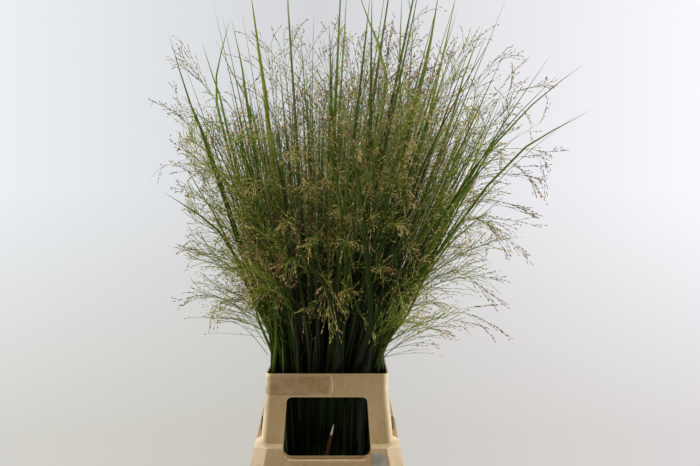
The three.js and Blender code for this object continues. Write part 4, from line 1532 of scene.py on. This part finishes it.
# long branches, from the root up, with their strings of spikelets
markedBranches = [
    dict(at=[(380, 340), (420, 325), (445, 314), (462, 312), (488, 322), (511, 338)], front=-0.5, tone=0.2,
         count=5),
    dict(at=[(392, 318), (430, 280), (456, 271), (480, 286), (507, 307)], front=-0.4, tone=0.15, count=6),
    dict(at=[(405, 290), (440, 240), (470, 217), (500, 232), (532, 264)], front=-0.55, tone=0.2, count=7),
    dict(at=[(410, 270), (450, 218), (485, 200), (512, 205), (538, 217)], front=-0.2, tone=0.15, count=5),
    dict(at=[(418, 250), (460, 188), (500, 162), (524, 172), (546, 203)], front=-0.3, tone=0.2, count=6),
    dict(at=[(425, 235), (468, 180), (505, 173), (530, 177), (543, 180)], front=0.2, tone=0.1, count=4),
    dict(at=[(430, 215), (470, 158), (517, 148), (545, 152), (572, 150)], front=0.0, tone=0.2, count=5),
    dict(at=[(380, 345), (405, 333), (425, 327), (440, 331), (455, 337)], front=-0.7, tone=0.2, count=4),
    dict(at=[(382, 352), (400, 347), (418, 343), (437, 345)], front=-0.3, tone=0.15, count=2),
    dict(at=[(436, 190), (470, 130), (500, 98), (530, 88), (560, 80)], front=-0.2, tone=0.3, count=5),
    dict(at=[(430, 170), (456, 110), (480, 76), (505, 58), (516, 56)], front=0.1, tone=0.3, count=5),
    dict(at=[(392, 170), (396, 120), (402, 84), (410, 52), (421, 22)], front=-0.3, tone=0.2, count=6),
    dict(at=[(376, 170), (380, 120), (384, 84), (388, 52), (394, 18)], front=-0.5, tone=0.15, count=7),
    dict(at=[(360, 160), (356, 110), (352, 76), (346, 46), (336, 20)], front=-0.4, tone=0.2, count=6),
    dict(at=[(400, 190), (412, 140), (424, 100), (436, 72), (450, 44)], front=-0.6, tone=0.25, count=7),
    dict(at=[(372, 200), (384, 150), (398, 112), (410, 84), (426, 60)], front=-0.7, tone=0.3, count=8),
    dict(at=[(350, 200), (352, 150), (360, 112), (366, 84), (378, 62)], front=-0.6, tone=0.2, count=8),
    dict(at=[(250, 250), (222, 190), (200, 140), (175, 112), (145, 99)], front=-0.3, tone=0.2, count=5),
    dict(at=[(262, 220), (236, 140), (214, 96), (190, 72), (169, 58)], front=-0.1, tone=0.25, count=6),
    dict(at=[(250, 260), (226, 200), (205, 165), (185, 150), (168, 140)], front=0.1, tone=0.2, count=5),
    dict(at=[(252, 280), (232, 220), (211, 190), (190, 172), (172, 163)], front=-0.5, tone=0.3, count=6),
    dict(at=[(255, 300), (232, 240), (212, 208), (192, 192), (173, 188)], front=-0.2, tone=0.2, count=5),
    dict(at=[(262, 330), (240, 290), (216, 262), (196, 250), (182, 249)], front=-0.3, tone=0.3, count=6),
    dict(at=[(266, 345), (244, 312), (222, 298), (200, 296), (176, 301)], front=-0.4, tone=0.3, count=5),
    dict(at=[(268, 355), (252, 335), (236, 323), (215, 320)], front=-0.1, tone=0.3, count=4),
    dict(at=[(300, 200), (296, 222), (291, 240), (284, 258), (277, 276)], front=-1.02, tone=0.35, count=9),
    dict(at=[(310, 230), (318, 262), (327, 286), (318, 302), (297, 312)], front=-1.06, tone=0.78, count=8),
    dict(at=[(330, 236), (329, 264), (328, 290), (328, 314), (331, 341)], front=-1.08, tone=0.8, count=9),
    dict(at=[(336, 240), (332, 264), (330, 286), (338, 300), (347, 312)], front=-1.06, tone=0.78, count=7),
    dict(at=[(356, 200), (359, 222), (362, 236), (367, 244), (372, 254)], front=-1.0, tone=0.7, count=6),
    dict(at=[(350, 270), (354, 296), (359, 314), (367, 324), (374, 339)], front=-1.02, tone=0.7, count=6),
    dict(at=[(344, 236), (345, 262), (345, 280), (343, 292), (340, 306)], front=-1.0, tone=0.7, count=6),
    dict(at=[(280, 240), (270, 262), (262, 280), (254, 296), (250, 312)], front=-0.8, tone=0.75, count=7),
    dict(at=[(390, 240), (396, 262), (398, 284), (402, 300), (406, 318)], front=-0.8, tone=0.75, count=7),
]
longBranchLook = dict(steps=9, girth=0.7, tone=0.4, branchGirth=0.36, at=(0.35, 0.85), uneven=0.04,
                      angle=(8, 30), reach=(0.4, 0.8), branchSteps=6, fall=0.25, falls=(0.3, 1), density=1.2,
                      free=(350, 350), room=(35, 35))


def addMarkedBranches():
    look, bundle = longBranchLook, newBundle()
    for i, mark in enumerate(markedBranches):
        rng = np.random.default_rng(600 + i)
        main = smoothPath(placesOf(mark), look["steps"])
        length = np.linalg.norm(np.diff(main, axis=0), axis=1).sum()
        layAlong(bundle, axisShape, [main], look["girth"], axisFacing, frontFinish[0], look["tone"])
        at = np.linspace(*look["at"], mark["count"])
        at = at + rng.uniform(-look["uneven"], look["uneven"], mark["count"])
        root, way = pointAt(np.repeat(main[None], len(at), axis=0), np.arange(len(at)), at)
        heading = leaning(way, look, rng)
        reach = length * (1 - at) * rng.uniform(*look["reach"], len(at))
        share = np.linspace(0, 1, look["branchSteps"])
        parts = root[:, None] + heading[:, None] * (reach[:, None] * share)[..., None]
        fall = look["fall"] * reach * rng.uniform(*look["falls"], len(at))
        parts[:, :, 2] -= fall[:, None] * share ** 2
        parts = gathered(parts, look["free"], look["room"])
        layAlong(bundle, branchShape, parts, look["branchGirth"], branchFacing, frontFinish[0], mark["tone"])
        carriers = np.concatenate([parts, main[-look["branchSteps"]:][None]])
        dress(bundle, carriers, rng, mark["tone"], look["density"], frontFinish)
    headPiece("longBranches", bundle)


def addMarkedLeaves():
    rng = np.random.default_rng(77)
    bundle = newBundle()
    for mark in markedLeaves:
        facing = np.array([rng.uniform(-0.5, 0.5), -1, 0.2])
        layAlong(bundle, leafShape, [markedPath(mark)], mark["half"] * markPlan["widen"], facing, "leaf",
                 mark["tone"], rng.uniform(0, markPlan["dry"]))
    grassPiece("longLeaves", bundle)


# a dry sheath behind the front window; its near-white upper part is painted light, the light that shows
# through the back window between the stems
drySheath = dict(at=[(324, 470), (327, 455), (330, 441), (332, 432), (334, 424)], y=-142, half=3.7, steps=12)


def addSheathWithPaintedLight():
    bundle, y = newBundle(), drySheath["y"]
    path = []
    for px, py in drySheath["at"]:
        x, z = seenAt(px, py, y)
        path.append((x, y, z))
    path = smoothPath(path, drySheath["steps"])
    layAlong(bundle, leafShape, [path], drySheath["half"], (0.1, -1, 0.1), "drySheath", 0.5)
    grassPiece("drySheath", bundle)


addMarkedBranches()
addMarkedLeaves()
addSheathWithPaintedLight()
print("single leaves and branches:", len(markedLeaves) + len(markedBranches))


# stage, light and camera

def addCamera():
    clearSelection()
    bpy.ops.object.camera_add(location=(camera["x"] * mm, camera["y"] * mm, camera["z"] * mm),
                              rotation=(math.radians(90 - camera["below"]), 0, 0))
    view = bpy.context.object
    view.data.lens = camera["lens"]
    view.data.sensor_width = camera["sensor"]
    view.data.clip_end = camera["clipEnd"]
    bpy.context.scene.camera = view


def addLight(name, at, target, size, energy, colour=(1, 1, 1)):
    light = bpy.data.lights.new(name, "AREA")
    light.shape = "RECTANGLE"
    light.size, light.size_y = size
    light.energy = energy
    light.color = colour
    lamp = bpy.data.objects.new(name, light)
    bpy.context.scene.collection.objects.link(lamp)
    lamp.location = at
    lamp.rotation_euler = (Vector(target) - Vector(at)).to_track_quat("-Z", "Y").to_euler()


floorLook = dict(radius=1.15, dark=(206, 204, 200), pale=(222, 220, 217), roughness=0.8)


def addFloor():
    clearSelection()
    bpy.ops.mesh.primitive_circle_add(vertices=96, radius=floorLook["radius"], fill_type="NGON")
    floor = bpy.context.object
    floor.name = "floor"
    material, tree, shader = newMaterial("floorPaper", Roughness=floorLook["roughness"])
    cloud = useGroup(mottle, Vector=fetch(tree, "TexCoord", "Object"), Scale=3.0, Spread=0.4)["Value"]
    ramp(cloud, (0, floorLook["dark"]), (1, floorLook["pale"])).to(shader.inputs["Base Color"])
    floor.data.materials.append(material)


# the backdrop the camera sees, and the light that falls from it, from the front round to the back
worldLook = dict(high=((236, 240, 244), (212, 213, 216), (251, 250, 255)),
                 low=((212, 210, 204), (200, 198, 190), (220, 216, 216)),
                 lit=((0.03, 0.025, 0.018, 1), (0.08, 0.08, 0.07, 1), (0.3, 0.3, 0.3, 1)))


def addWorld():
    world = bpy.data.worlds.new("studio")
    bpy.context.scene.world = world
    world.use_nodes = True
    tree = world.node_tree
    x, y, z = split(fetch(tree, "TexCoord", "Generated"))
    across = x * 2.0 + 0.5
    high = ramp(across, *zip((0.0, 0.45, 1.0), worldLook["high"]))
    low = ramp(across, *zip((0.0, 0.4, 1.0), worldLook["low"]))
    seen = blend((0.12 - z * 5.7).clamped(), high, low)
    lit = ramp(y * 0.5 + 0.5, *zip((0.0, 0.5, 1.0), worldLook["lit"]))
    direct = fetch(tree, "LightPath", "Is Camera Ray")
    blend(direct, lit, seen).to(tree.nodes["Background"].inputs["Color"])


addCamera()
addFloor()
addWorld()
addLight("lightLeft", (-1.9, 0.9, 1.3), (0, 0, 0.6), (1.4, 1.8), 50)
addLight("lightRight", (2.0, 0.8, 1.3), (0, 0, 0.6), (1.4, 1.8), 59)
addLight("lightFront", (-0.5, -2.6, 1.9), (0, 0, 0.6), (1.6, 1.0), 2.5, (1, 0.8, 0.58))
addLight("lightTop", (0.1, -1.3, 2.7), (0, 0, 0.7), (0.4, 0.3), 29, (1, 0.93, 0.76))
addLight("lightLowLeft", (-1.75, -0.35, 0.4), (0, 0, 0.3), (0.7, 0.7), 13, (1, 0.98, 0.94))
addLight("lightLowRight", (1.8, -0.35, 0.4), (0, 0, 0.3), (0.7, 0.7), 13, (1, 0.98, 0.95))
bpy.context.scene.view_settings.view_transform = "Standard"
print("stage set")
